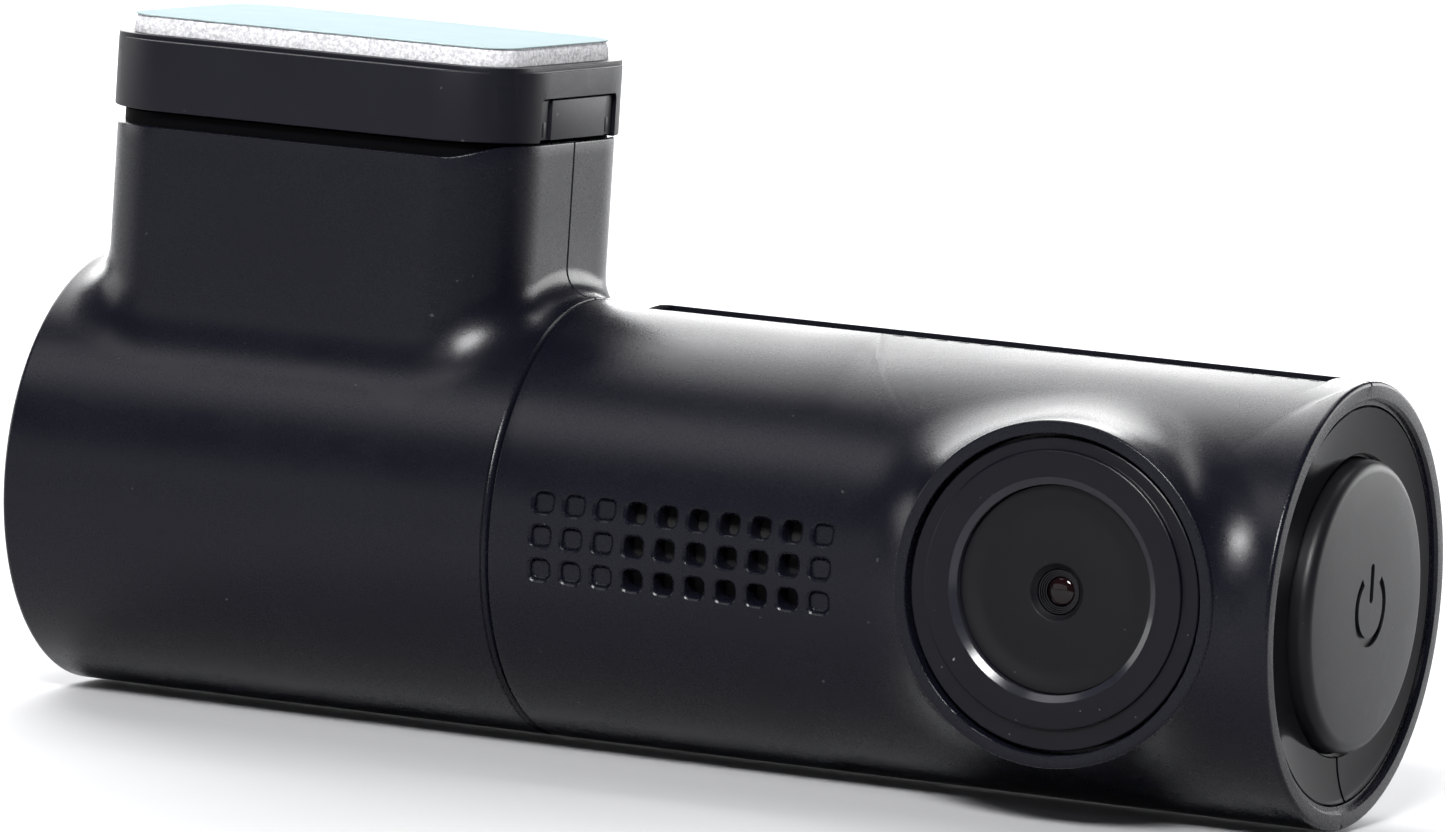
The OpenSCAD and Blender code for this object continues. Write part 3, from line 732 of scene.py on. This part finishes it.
def makeBase():
    x0, x1 = frontLow.x, frontHigh.x
    reach = x1 - 0.35
    left = edgeRound(x0, base["endEdge"], 1)
    middle = [(x, drumR) for x in spread(-reach, reach, base["meshStep"])]
    right = edgeRound(x1, base["seamEdge"], -1, 4)
    columns = (len(left), len(left) + len(middle) - 1)
    angles = drumAngles(28, 152)
    rows = (angles.index(28), angles.index(152))
    drum = drumWithTower(left + middle + right, angles, columns, rows, riserPath)
    outer = newPiece("baseOuter", *drum, 30)
    partingGroove(outer, groove["depth"])
    wall = base["wall"]
    inner = drumR - wall
    carve(outer, lathe([(inner, x0 + wall), (inner, x1 - 2)], onBarrel))
    carve(outer, riserSlab(wall, 3, riserLow - 1.4, 0.3))
    sleeve = base["sleeve"]
    bearing = [(sleeve, x1 - 4), (sleeve, x1 - 0.2), (sleeve + 0.3, x1 + 1)]
    carve(outer, lathe(bearing, onBarrel, 72))
    # slot for the rail's neck
    neck = base["neckHalf"]
    carve(outer, block((railLow.x - 0.2, -neck, axisZ + riserLow - 2.5),
                       (railHigh.x + 0.2, neck, axisZ + riserTop + 2)))
    carve(outer, softBarX(-riserHalfA - 1, -riserHalfA + 3, socketHigh.y + base["socketGap"],
                          socketLow.z - 0.25, socketHigh.z + 0.25, 0.5))
    # parting line on the closed end
    vee = [(x0 - 0.3, 0.3), (x0 - 0.3, -0.3), (x0 + groove["depth"], 0)]
    carve(outer, skinRings([[(x, y, z) for x, y in vee]
                            for z in (axisZ - drumR - 1, axisZ + drumR - 0.2)]))
    for z in (-base["screwRise"], base["screwRise"]):
        carve(outer, screwWell(x0 + base["screwX"], z))
    # band that closes the gap under the plate, open for the rail; it is dressed in painted shade, a
    # near-black finish standing in for the shadow in the gap
    gap = base["gapDepth"]
    band = newPiece("paintedShadeBand", *riserSlab(gap, riserLow - 0.3, riserTop, 0.08))
    carve(band, riserSlab(gap + base["gapWall"], riserLow - 1, riserTop + 1, 0.08))
    carve(band, block((0, -neck, axisZ + riserLow - 1),
                      (riserHalfA + 1, neck, axisZ + riserTop + 1)))
    smooth(band, 30)
    # painted shade: the band takes the near-black gap finish, not the shell's colour
    place(band, "base", "shell_plastic", material=shade)
    placeShells(outer, "base")


# bar along X with a rounded section
def softBarX(x0, x1, halfY, z0, z1, corner):
    section = roundRect(2 * halfY, z1 - z0, corner, 6, 0, (z0 + z1) / 2)
    return barAlongX(section, x0, x1)


well = {"depth": 6.5, "radius": 2.0, "flare": 0.3}


# hole for a screw from the rear face, flared where it meets the drum
def screwWell(x, z):
    mouth = math.sqrt(drumR * drumR - z * z)
    flare = well["flare"]
    rings = []
    for y, grow in ((well["depth"], 0), (mouth - 0.1, 0), (mouth + 0.9, flare), (drumR + 2, flare)):
        rings.append([(x + u, y, axisZ + z + v) for u, v in circle(well["radius"] + grow, 40)])
    return skinRings(rings)


makeBase()
print("base made")


# barrel with the lens boss

barrel = {
    "rimEdge": 0.3,  # rounding of the button rim
    "seamEdge": 0.1,
    "rightBlend": 7.0,  # blend radius beside the button end
    "blend": 13.0,  # blend radius round the rest of the boss
    "lipEdge": 0.2,
    "lip": 0.9,  # width of the lip round the lens pocket
    "pocketEdge": 0.12,
    "pocketDepth": 2.1,
    "bezelGap": 0.25,
    "wall": 1.6,
    "rimWall": 1.3,  # wall round the button
    "patchReach": 8.4,  # how far the fine mesh goes past the boss
    "meshStep": 0.6,
}
pocketR = (bezelHigh.x - bezelLow.x) / 2 + barrel["bezelGap"]
bossR = pocketR + barrel["lip"]
bossFace = -boxMm("barrel_front_shell")[0].y
pocketFloor = bossFace - barrel["pocketDepth"]


def bossHeight(a, b):
    return heightUnder(drumR * drumR - (b + bossRise) ** 2)


bossOutline = roundOutline(bossR)


# from the rim of the patch to the blend, over the lip and into the lens pocket
def bossPath(q):
    a, b = q[0] - lensX, q[2] - axisZ - bossRise
    point, normal = bossOutline(a, b)
    side = max(normal[0], 0) ** 2
    radius = barrel["blend"] + (barrel["rightBlend"] - barrel["blend"]) * side * (3 - 2 * side)
    top = bossFace - barrel["lipEdge"]
    arc = rollingFillet(point, normal, bossHeight, radius, top - 0.02, 14)
    out = onLens(bossRise)
    path = [out(fa, fb, float(bossHeight(fa, fb)))
            for fa, fb in stepsTo(outFrom(point, normal, arc[0][0]), a, b)]
    path += [out(*outFrom(point, normal, reach), height) for reach, height in arc]
    path.append(out(point[0], point[1], (arc[-1][1] + top) / 2))
    path += [out(*outFrom(point, normal, -inset), top + lift)
             for inset, lift in quarter(barrel["lipEdge"], 4)]
    path += [out(normal[0] * r, normal[1] * r, height) for r, height in pocketProfile()]
    return path


def pocketProfile():
    edge = barrel["pocketEdge"]
    profile = [(pocketR + edge - up, bossFace - inward) for inward, up in quarter(edge, 3)]
    return profile + [(pocketR * share, pocketFloor) for share in (1, 0.6, 0.2)]


grille = {
    "columns": 10,
    "rows": 3,
    "pitch": 2.3,
    "start": 3.9,  # from the turning seam to the middle of the first hole
    "side": 1.32,
    "corner": 0.4,
    "middle": 0.7,  # degrees above the lens axis plane
    "edge": 0.34,  # rounding of each hole at the skin
    "dimples": 3,  # columns before the open holes
    "dimpleDepth": 0.4,
    "openDepth": 3.0,
}
grilleX = (frontHigh.x + barrelLow.x) / 2 + grille["start"]


# one rounded square hole, opening slightly at the skin
def grilleHole(column, row):
    step = math.degrees(grille["pitch"] / drumR)
    turn = math.radians(grille["middle"] + (row - (grille["rows"] - 1) / 2) * step)
    openHole = grille["dimples"] <= column < grille["columns"] - 1
    depth = grille["openDepth"] if openHole else grille["dimpleDepth"]
    x = grilleX + column * grille["pitch"]
    side, corner, edge = grille["side"], grille["corner"], grille["edge"]
    levels = [(drumR - depth, -0.12), (drumR - depth + 0.08, -0.04), (drumR - edge - 0.02, 0)]
    for i in range(1, 6):
        angle = math.radians(13 * i)
        levels.append((drumR - 0.02 - edge * (1 - math.sin(angle)), edge * (1 - math.cos(angle))))
    levels.append((drumR + 0.4, levels[-1][1] + 0.45))
    rings = []
    for radius, grow in levels:
        outline = roundRect(side + 2 * grow, side + 2 * grow, corner + grow, 5)
        rings.append([(x + u, -radius * math.cos(turn) + v * math.sin(turn),
                       axisZ + radius * math.sin(turn) + v * math.cos(turn)) for u, v in outline])
    return skinRings(rings)


cardSlot = {
    "gap": 0.3,
    "corner": 0.4,
    "bottom": 6.0,
    "thumb": 2.6,  # radius at the bottom of the thumb scoop
    "thumbStretch": 1.25,  # how much longer the scoop is than it is high
}


# the memory card's slot, and the scoop for a thumb round it
def carveCardSlot(outer):
    middle, gap = (cardLow + cardHigh) / 2, cardSlot["gap"]
    outline = roundRect(cardHigh.x - cardLow.x + 2 * gap, cardHigh.z - cardLow.z + 2 * gap,
                        cardSlot["corner"], 5)
    carve(outer, skinRings([[(middle.x + u, y, middle.z + v) for u, v in outline]
                            for y in (cardSlot["bottom"], drumR + 2)]))
    scoop = []
    for y, grow in ((cardHigh.y - 0.9, 0), (cardHigh.y - 0.3, 0.5), (drumR + 1, 1.6)):
        scoop.append([(middle.x + u * cardSlot["thumbStretch"], y, middle.z + v)
                      for u, v in circle(cardSlot["thumb"] + grow, 48)])
    carve(outer, skinRings(scoop))


def makeBarrel():
    x0, x1 = barrelLow.x, barrelHigh.x
    start, stop = lensX - bossR - barrel["patchReach"], x1 - barrel["rimEdge"] - 0.08
    left = edgeRound(x0, barrel["seamEdge"], 1, 4)
    left += [(x, drumR) for x in spread(x0 + 1, start, 4)[:-1]]
    middle = [(x, drumR) for x in spread(start, stop, barrel["meshStep"])]
    right = edgeRound(x1, barrel["rimEdge"], -1)
    angles = drumAngles(-84, 84)
    rows = (angles.index(-84), angles.index(84))
    columns = (len(left), len(left) + len(middle) - 1)
    drum = drumWithTower(left + middle + right, angles, columns, rows, bossPath)
    outer = newPiece("barrelOuter", *drum, 30)
    partingGroove(outer, groove["depth"])
    inner = drumR - barrel["wall"]
    bossStart = lensX - bossR
    carve(outer, lathe([(inner - 0.5, x0 - 1), (inner - 0.5, x0 + 0.45),
                        (inner, x0 + 0.46), (inner, bossStart)], onBarrel))
    # the hollow stays behind the lens pocket's floor
    flat = 1.2 - pocketFloor
    section = [(max(y, flat), axisZ + z) for y, z in circle(inner, 96)]
    carve(outer, barAlongX(section, bossStart - 0.01, ringLow.x + 0.01))
    rim = drumR - barrel["rimWall"]
    mouth = [(inner, ringLow.x), (inner, ringHigh.x), (rim, ringHigh.x + 0.01), (rim, x1 - 0.2),
             (rim + 0.2, x1 + 0.01), (rim + 0.2, x1 + 1)]
    carve(outer, lathe(mouth, onBarrel, 120))
    holes = [grilleHole(c, r) for c in range(grille["columns"]) for r in range(grille["rows"])]
    carve(outer, together(*holes))
    # opening for the vent insert
    carve(outer, block((ventLow.x - 0.07, ventLow.y - 0.05, axisZ + inner - 1),
                       (ventHigh.x + 0.07, ventHigh.y + 0.05, axisZ + drumR + 1)))
    carveCardSlot(outer)
    screwLow, screwHigh = boxMm("barrel_screws")
    head = 1.7
    carve(outer, screwWell(screwLow.x + head, screwHigh.z - head - axisZ))
    carve(outer, screwWell(screwHigh.x - head, screwLow.z + head - axisZ))
    placeShells(outer, "barrel")


makeBarrel()
print("barrel made")


# lens

bezel = {
    "step": 9.22,  # edge of the raised flat ring
    "flatInner": 7.45,  # polished bevel, outside and inside
    "disc": 6.95,
    "bevelDrop": 0.28,
    "bandDrop": 0.4,  # how far the outer band lies below the flat ring
    "seat": 0.08,  # gap behind the lens parts
}
eye = {
    "radius": 1.85,  # opening in the face
    "bevel": 0.3,
    "glass": 0.98,
    "dish": 5.35,  # where the face dips most
    "dishDrop": 0.24,
    "threads": 4,  # steps inside the tube
    "domeRise": 0.3,
    "domeSink": 0.72,  # from the face down to the glass
    "domeRings": 9,
}


def makeBezel(back):
    outerR = (bezelHigh.x - bezelLow.x) / 2
    rise = faceRise - bossRise
    top, band = bossFace, bossFace - bezel["bandDrop"]
    step, flat, disc = bezel["step"], bezel["flatInner"], bezel["disc"]
    turned("lensBezel", [
        (outerR, back), (outerR, band - 0.1), (outerR - 0.03, band - 0.04), (outerR - 0.1, band),
        (step + 0.12, band, rise * 0.9), (step + 0.02, band + 0.06, rise), (step, top - 0.12, rise),
        (step - 0.03, top - 0.05, rise), (step - 0.08, top - 0.015, rise), (step - 0.15, top, rise),
        (flat + 0.02, top, rise), (flat, top - 0.02, rise), (flat, back, rise)],
        onLens(bossRise), 160, "bezel_plastic", ["lens_bezel"])
    rim, low = flat - 0.005, top - bezel["bevelDrop"]
    turned("lensBevel", [
        (rim, back), (rim, top - 0.012), (rim - 0.03, top - 0.01), (rim - 0.06, top - 0.03),
        (disc + 0.04, low + 0.02), (disc + 0.01, low), (disc, low - 0.04), (disc, back)],
        onLens(faceRise), 160, "bezel_plastic", material=polished)


def makeFace(back, face):
    rise = eyeRise - faceRise
    disc, dish, drop = bezel["disc"] - 0.03, eye["dish"], eye["dishDrop"]
    hole = eye["radius"]
    throat = hole - eye["bevel"]
    turned("lensFace", [
        (disc, back), (disc, face - 0.12), (disc - 0.07, face - 0.05), (disc - 0.27, face - 0.04),
        (6.3, face - drop * 0.35), (dish + 0.45, face - drop * 0.85), (dish, face - drop),
        (4.9, face - drop + 0.03), (3.4, face - 0.12, rise * 0.5), (2.6, face - 0.1, rise * 0.8),
        (hole + 0.2, face - 0.1, rise), (hole + 0.08, face - 0.12, rise),
        (hole + 0.02, face - 0.16, rise), (hole - 0.02, face - 0.22, rise),
        (throat, face - 0.5, rise), (throat, back, rise)],
        onLens(faceRise), 128, "face_plastic", ["lens_face"])


def makeEye(back, face):
    glass, threads = eye["glass"], eye["threads"]
    outer = eye["radius"] - eye["bevel"] - 0.04
    mouth, rim = outer - 0.06, face - 0.52
    steps = [(outer, back - 3), (outer, rim - 0.06), (mouth, rim)]
    for i in range(threads):
        inner = mouth - (mouth - glass) * (i + 1) / threads
        depth = rim - 0.1 * (i + 1)
        steps += [(inner + 0.04, depth + 0.1), (inner + 0.015, depth + 0.03), (inner, depth)]
    steps += [(glass, face - 1.5), (glass, back - 3)]
    turned("lensTube", steps, onLens(eyeRise), 72, "tube_black", ["lens_tube"])
    top, rise, rings = face - eye["domeSink"], eye["domeRise"], eye["domeRings"]
    radius = glass - 0.01
    dome = [(radius, top - 0.9)]
    for i in range(rings):
        turn = math.pi / 2 * i / rings
        dome.append((radius * math.cos(turn), top + rise * math.sin(turn) - rise))
    dome.append((0.01, top))
    place(newPiece("frontLens", *lathe(dome, onLens(eyeRise), 64), 60),
          "barrel", "coated_glass", ["front_lens"])


def makeLens():
    back, face = pocketFloor + bezel["seat"], -faceLow.y
    makeBezel(back)
    makeFace(back, face)
    makeEye(back, face)


makeLens()
print("lens made")


# button end

button = {
    "edge": 0.8,  # rounding of the button's rim
    "crown": 0.3,  # rise of the face at its middle
    "ringDish": 0.7,  # how far the glossy ring slopes down towards the button
    "ringGap": 0.36,  # between the ring and the rim's wall
    "ringSlot": 0.3,  # depth of the curved slot at the ring's foot
    "markRadius": 2.3,  # engraved standby mark
    "markWidth": 0.6,
    "markDepth": 0.26,
    "markGap": 38,  # degrees from the top to where its ring starts
}


def makeCap():
    radius = (buttonHigh.y - buttonLow.y) / 2
    faceX = buttonHigh.x - button["crown"]
    edge = button["edge"]
    back = buttonLow.x + 3
    profile = [(radius - 1.2, back), (radius, back), (radius, faceX - edge)]
    profile += [(radius - inset, faceX - edge + lift) for inset, lift in quarter(edge, 6)[1:]]
    for share in (0.75, 0.5, 0.25, 0.02):
        profile.append((radius * share, faceX + button["crown"] * (1 - share * share)))
    cap = newPiece("powerButton", *lathe(profile, onBarrel, 128), 26)
    mark, width = button["markRadius"], button["markWidth"] / 2
    bottom, top = buttonHigh.x - button["markDepth"], buttonHigh.x + 1
    small, large = mark - width, mark + width
    corners = ((bottom, small), (bottom, large), (top, large), (top, small))
    arc = []
    for i in range(41):
        turn = math.radians(90 + button["markGap"] + (360 - 2 * button["markGap"]) * i / 40)
        arc.append([(x, size * math.cos(turn), axisZ + size * math.sin(turn))
                    for x, size in corners])
    carve(cap, skinRings(arc))
    bar = roundRect(2 * width, mark * 1.15, width * 0.95, 6, 0, axisZ + mark * 0.72)
    carve(cap, barAlongX(bar, bottom, top))
    smooth(cap, 26)
    place(cap, "button", "button_plastic", ["power_button"])


def makeRing():
    inner, outer = ringInner() + 0.02, drumR - barrel["rimWall"] - button["ringGap"]
    x = ringHigh.x
    dish = min(button["ringDish"], x - ringLow.x - 0.4)
    ring = newPiece("indicatorRing", *lathe([
        (inner, ringLow.x), (inner, x - dish - 0.1), (inner + 0.1, x - dish),
        (outer - 0.4, x - 0.06), (outer - 0.2, x - 0.01), (outer - 0.1, x), (outer, x - 0.1),
        (outer, ringLow.x)],
        onBarrel, 160, loop=True), 26)
    floor = x - dish - button["ringSlot"]
    slot = []
    for i in range(13):
        t = i / 12
        radius, y = inner - 0.1 + (outer - inner + 0.2) * t, -0.2 + 1.6 * t * t
        slot.append([(sx, y + sy, axisZ - radius) for sx, sy in (
            (floor, -0.15), (floor, 0.15), (x + 0.1, 0.17), (x + 0.1, -0.17))])
    carve(ring, skinRings(slot))
    smooth(ring, 26)
    place(ring, "barrel", "ring_gloss", ["indicator_ring"])


# the glossy ring's inner radius
def ringInner():
    return min(math.hypot(v.co.y / mm, v.co.z / mm - axisZ)
               for v in nodes["indicator_ring"].data.vertices)


makeCap()
makeRing()
print("button end made")


# grille in the top of the barrel, just below the skin
vent = {
    "sink": 0.38,
    "thick": 1.17,
    "pitch": 1.6,
    "slot": 0.8,
    "bar": 1.25,  # solid border along the slots' ends
}


def makeVent():
    low, high = ventLow, ventHigh
    half = (high.y - low.y) / 2
    section = []
    top = drumR - vent["sink"]
    for radius, order in ((top, 1), (top - vent["thick"], -1)):
        turns = [math.asin(half / radius) * (i / 8 - 1) for i in range(17)][::order]
        section += [(radius * math.sin(t), axisZ + radius * math.cos(t)) for t in turns]
    grid = newPiece("ventGrille", *barAlongX(section, low.x, high.x), 30)
    count = int((high.x - low.x) / vent["pitch"]) - 1
    first = (low.x + high.x - (count * 2 - 1) * vent["slot"]) / 2
    slots = []
    for i in range(count):
        x = first + i * vent["pitch"] + vent["slot"] / 2
        shape = roundRect(vent["slot"], 2 * (half - vent["bar"]), 0.3, 3)
        slots.append(skinRings([[(x + u, v, z) for u, v in shape]
                                for z in (axisZ + drumR - 3, axisZ + drumR + 1)]))
    carve(grid, together(*slots))
    smooth(grid, 30)
    place(grid, "barrel", "vent_plastic", ["vent_grille"])


makeVent()


# bracket

plate = {
    "edge": 0.12,
    "corner": 6.5,
    "ridge": 0.3,  # rim that stands up round the pad
    "ridgeWidth": 1.0,
    "padGap": 0.15,
    "padSink": 0.5,
    "skin": 0.9,  # floor under the rail's channel
    "channel": 2.1,  # height of the channel for the rail's head
    "channelHalf": 4.6,
    "neckHalf": 3.3,
    "window": 11.4,  # width of the opening for the tab
}
padSize = {"corner": 2.9, "bulge": 0.12, "layers": 9}
tab = {
    "depth": 3.9,  # front to back
    "face": 8.2,  # width of the raised face
    "wingStep": 0.22,
    "edge": 0.06,
    "notch": 0.9,  # grip cut into the underside
    "notchHalf": 2.6,
    "stemRise": 1.15,
    "stemHalf": 1.9,
    "stopIn": 0.85,  # stops on the wings, from the face and from the middle
    "stopOut": 4.75,
    "stopR": 0.7,
}


def makeBracket():
    length, width = plateHigh.x - plateLow.x, plateHigh.y - plateLow.y
    body = newPiece("bracketPlate", *softSlab(length, width, plate["corner"], plateLow.z,
                                              plateHigh.z, plate["edge"], cornerSteps=16), 30)
    padL, padW, corner = padHigh.x - padLow.x, padHigh.y - padLow.y, padSize["corner"]
    gap = plate["padGap"]
    rim = gap + plate["ridgeWidth"]
    carve(body, softSlab(padL + 2 * rim, padW + 2 * rim, corner + rim, plateHigh.z - 1,
                         plateHigh.z + plate["ridge"], 0.08), "UNION")
    carve(body, softSlab(padL + 2 * gap, padW + 2 * gap, corner + gap,
                         plateHigh.z - plate["padSink"], plateHigh.z + 3, 0.1))
    under = plateLow.z - 1
    floor = plateLow.z + plate["skin"]
    ceiling = floor + plate["channel"]
    start, neck, half = railLow.x - 0.5, plate["neckHalf"], plate["channelHalf"]
    carve(body, block((start, -neck, under), (length, neck, floor + 0.1)))
    carve(body, block((start, -half, floor), (length, half, ceiling)))
    window = roundRect(plate["window"], 2 * (ceiling - under), 0.45, 6, 0, under)
    carve(body, barAlongX(window, railHigh.x, length))
    smooth(body, 30)
    place(body, "bracket", "bracket_plastic", ["bracket_plate"])


# foam block whose sides swell a little between its faces
def makePad():
    padL, padW = padHigh.x - padLow.x, padHigh.y - padLow.y
    layers = padSize["layers"]
    rings = []
    for i in range(layers + 1):
        t = i / layers
        z = padLow.z + (padHigh.z - 0.01 - padLow.z) * t
        swell = padSize["bulge"] * math.sin(math.pi * t) - (0.06 if i in (0, layers) else 0)
        outline = roundRect(padL + 2 * swell, padW + 2 * swell, padSize["corner"], 12)
        ring = []
        for j, (x, y) in enumerate(outline):
            wobble = 0.025 * math.sin(j * 1.7 + i * 2.3) + 0.02 * math.sin(j * 0.61 + i)
            grow = 1 + wobble / math.hypot(x, y)
            ring.append((x * grow, y * grow, z))
        rings.append(ring)
    pad = newPiece("foamPad", *skinRings(rings), 50)
    place(pad, "bracket", "foam", ["foam_pad"])


def makeLiner():
    length, width = linerHigh.x - linerLow.x, linerHigh.y - linerLow.y
    corner = padSize["corner"] + 0.1
    liner = newPiece("releaseLiner", *softSlab(length, width, corner, linerLow.z + 0.005,
                                               linerHigh.z, 0.03, steps=3, cornerSteps=12), 40)
    place(liner, "bracket", "liner_film", ["release_liner"])


def makeTab():
    x1 = tabHigh.x
    x0 = x1 - tab["depth"]
    face, grip, stem = tab["face"] / 2, tab["notchHalf"], tab["stemHalf"]
    z0, stemLow = tabLow.z, tabLow.z + tab["stemRise"]
    head = newPiece("releaseTab", *block((x0, -face, z0), (x1, face, tabHigh.z)), 30)
    wingX = x1 - tab["wingStep"]
    carve(head, block((x0, tabLow.y, z0), (wingX, tabHigh.y, tabHigh.z)), "UNION")
    carve(head, block((x0 - 1, -grip, z0 - 1), (x1 - 1.2, grip, z0 + tab["notch"])))
    carve(head, block((tabLow.x, -stem, stemLow), (x0 + 0.3, stem, stemLow + 1)), "UNION")
    softenEdges(head, tab["edge"], 3)
    place(head, "tab", "tab_plastic", ["release_tab"])
    # small rounded stops on the stepped wings
    for side, name in ((-1, "tabStopLeft"), (1, "tabStopRight")):
        rings = []
        for z, shrink in ((0, 0.14), (0.06, 0.04), (0.14, 0), (1.0, 0), (1.12, 0.06), (1.18, 0.2)):
            rings.append([(x1 - tab["stopIn"] + u, side * tab["stopOut"] + v, z0 + 0.12 + z)
                          for u, v in circle(tab["stopR"] - shrink, 28)])
        stop = newPiece(name, *skinRings(rings), 40)
        place(stop, "tab", "tab_plastic")


makeBracket()
makePad()
makeLiner()
makeTab()
print("bracket made")


# small parts that show when it is opened up

cardPads = {"count": 8, "first": 1.1, "pitch": 1.08, "width": 0.75, "start": 0.5, "end": 3.3}
tongueStrips = {"count": 5, "first": -1.3, "pitch": 0.65, "half": 0.16}


def makeCardContacts():
    look = cardPads
    pads = []
    for i in range(look["count"]):
        x = cardLow.x + look["first"] + i * look["pitch"]
        pads.append(block((x, cardLow.y + look["start"], cardLow.z - 0.03),
                          (x + look["width"], cardLow.y + look["end"], cardLow.z + 0.1)))
    contacts = newPiece("cardContacts", *together(*pads))
    place(contacts, "card", "card_plastic", material=goldMetal)


def makeSocketContacts():
    low, high = boxMm("socket_tongue")
    half = tongueStrips["half"]
    strips = []
    for i in range(tongueStrips["count"]):
        y = tongueStrips["first"] + i * tongueStrips["pitch"]
        strips.append(block((low.x + 0.3, y - half, low.z - 0.04),
                            (high.x - 0.2, y + half, low.z + 0.05)))
    contacts = newPiece("socketContacts", *together(*strips))
    place(contacts, "base", "socket_metal", material=goldMetal)


makeCardContacts()
makeSocketContacts()
print("small parts made")


# camera, stage and light

camera = {
    "place": (0.39386, -0.77232, 0.06237),
    "forward": (-0.42560519, 0.89929438, -0.10064709),
    "right": (0.89929037, 0.43271336, 0.06352934),
    "lens": 315.9,
}


def makeCamera():
    data = bpy.data.cameras.new("studioCamera")
    data.lens = camera["lens"]
    data.sensor_width = 36
    data.clip_start = 0.05
    data.clip_end = 50
    view = bpy.data.objects.new("studioCamera", data)
    bpy.context.scene.collection.objects.link(view)
    forward = Vector(camera["forward"]).normalized()
    right = Vector(camera["right"])
    right = (right - forward * right.dot(forward)).normalized()
    up = right.cross(forward)
    turn = Matrix((right, up, -forward)).transposed().to_4x4()
    view.matrix_world = Matrix.Translation(camera["place"]) @ turn
    bpy.context.scene.camera = view


stage = {"floorSize": 6.0, "floorGap": 0.0002, "wallAt": 1.0, "curve": 1.2, "curveSteps": 16,
         "color": (0.46, 0.46, 0.47)}
sky = {"color": (0.8, 0.85, 1.0), "strength": 0.07}


# a floor that bends up into a wall behind the object
def makeStage():
    floorZ = cadBounds[0].z - stage["floorGap"]
    half = stage["floorSize"] / 2
    bend = quarter(stage["curve"], stage["curveSteps"])
    path = [(-half, 0)] + [(stage["wallAt"] + up, inward) for inward, up in bend]
    path.append((path[-1][0], half))
    rows = [[(x / mm, y / mm, (floorZ + z) / mm) for x in (-half, half)] for y, z in path]
    verts = [p for row in rows for p in row]
    faces = [(2 * i, 2 * i + 1, 2 * i + 3, 2 * i + 2) for i in range(len(rows) - 1)]
    floor = newPiece("studioFloor", verts, faces)
    made = Finish("palePaper")
    tone = made.noise(30, 3.0)
    color = stage["color"]
    made.set(color=made.blend(tone, rgb(*color), rgb(*[c * 0.985 for c in color])),
             roughness=0.75 + (tone - 0.5) * 0.05)
    floor.data.materials.append(made.material)


lights = [
    {"name": "backSheet", "size": (1.5, 1.5), "power": 46.0,
     "at": (-0.92, 1.18, 0.72), "aim": (0.03, 0, 0.05)},
    {"name": "backTop", "size": (0.8, 0.6), "power": 3.2,
     "at": (-0.62, 0.4, 1.15), "aim": (0.03, 0, -0.03), "spread": 110},
    {"name": "floorWash", "size": (1.6, 1.0), "power": 13.0,
     "at": (0.1, 1.05, 1.3), "aim": (0.1, 1.0, -0.04), "spread": 70},
    {"name": "frontSoft", "size": (0.3, 0.24), "power": 1.6,
     "at": (0.24, -0.73, 0.56), "aim": (0.03, 0, -0.03), "spread": 60},
    {"name": "frontCard", "size": (1.3, 0.4), "power": 1.7,
     "at": (-0.62, -1.3, 0.1), "aim": (0.03, 0, -0.01)},
    {"name": "leftSoft", "size": (0.5, 0.35), "power": 0.26,
     "at": (-0.47, -0.58, 0.8), "aim": (0, 0, -0.03), "spread": 70},
    {"name": "leftSheet", "size": (0.9, 0.5), "power": 4.5,
     "at": (-1.5, -0.1, 0.2), "aim": (0, 0, -0.03)},
    {"name": "rightSheet", "size": (1.0, 0.5), "power": 10.0,
     "at": (0.62, 1.2, 0.24), "aim": (0.06, 0, -0.02)},
]


def makeLights():
    for light in lights:
        data = bpy.data.lights.new(light["name"], "AREA")
        data.shape = "RECTANGLE"
        data.size, data.size_y = light["size"]
        data.energy = light["power"]
        data.spread = math.radians(light.get("spread", 180))
        lamp = bpy.data.objects.new(light["name"], data)
        bpy.context.scene.collection.objects.link(lamp)
        lamp.location = light["at"]
        lamp.rotation_mode = "QUATERNION"
        toAim = Vector(light["aim"]) - Vector(light["at"])
        lamp.rotation_quaternion = toAim.to_track_quat("-Z", "Y")
    world = bpy.data.worlds.new("studioWorld")
    world.use_nodes = True
    background = next(n for n in world.node_tree.nodes if n.type == "BACKGROUND")
    background.inputs["Color"].default_value = rgb(*sky["color"])
    background.inputs["Strength"].default_value = sky["strength"]
    bpy.context.scene.world = world
    bpy.context.scene.view_settings.view_transform = "Standard"


makeCamera()
makeStage()
makeLights()
print("stage made")
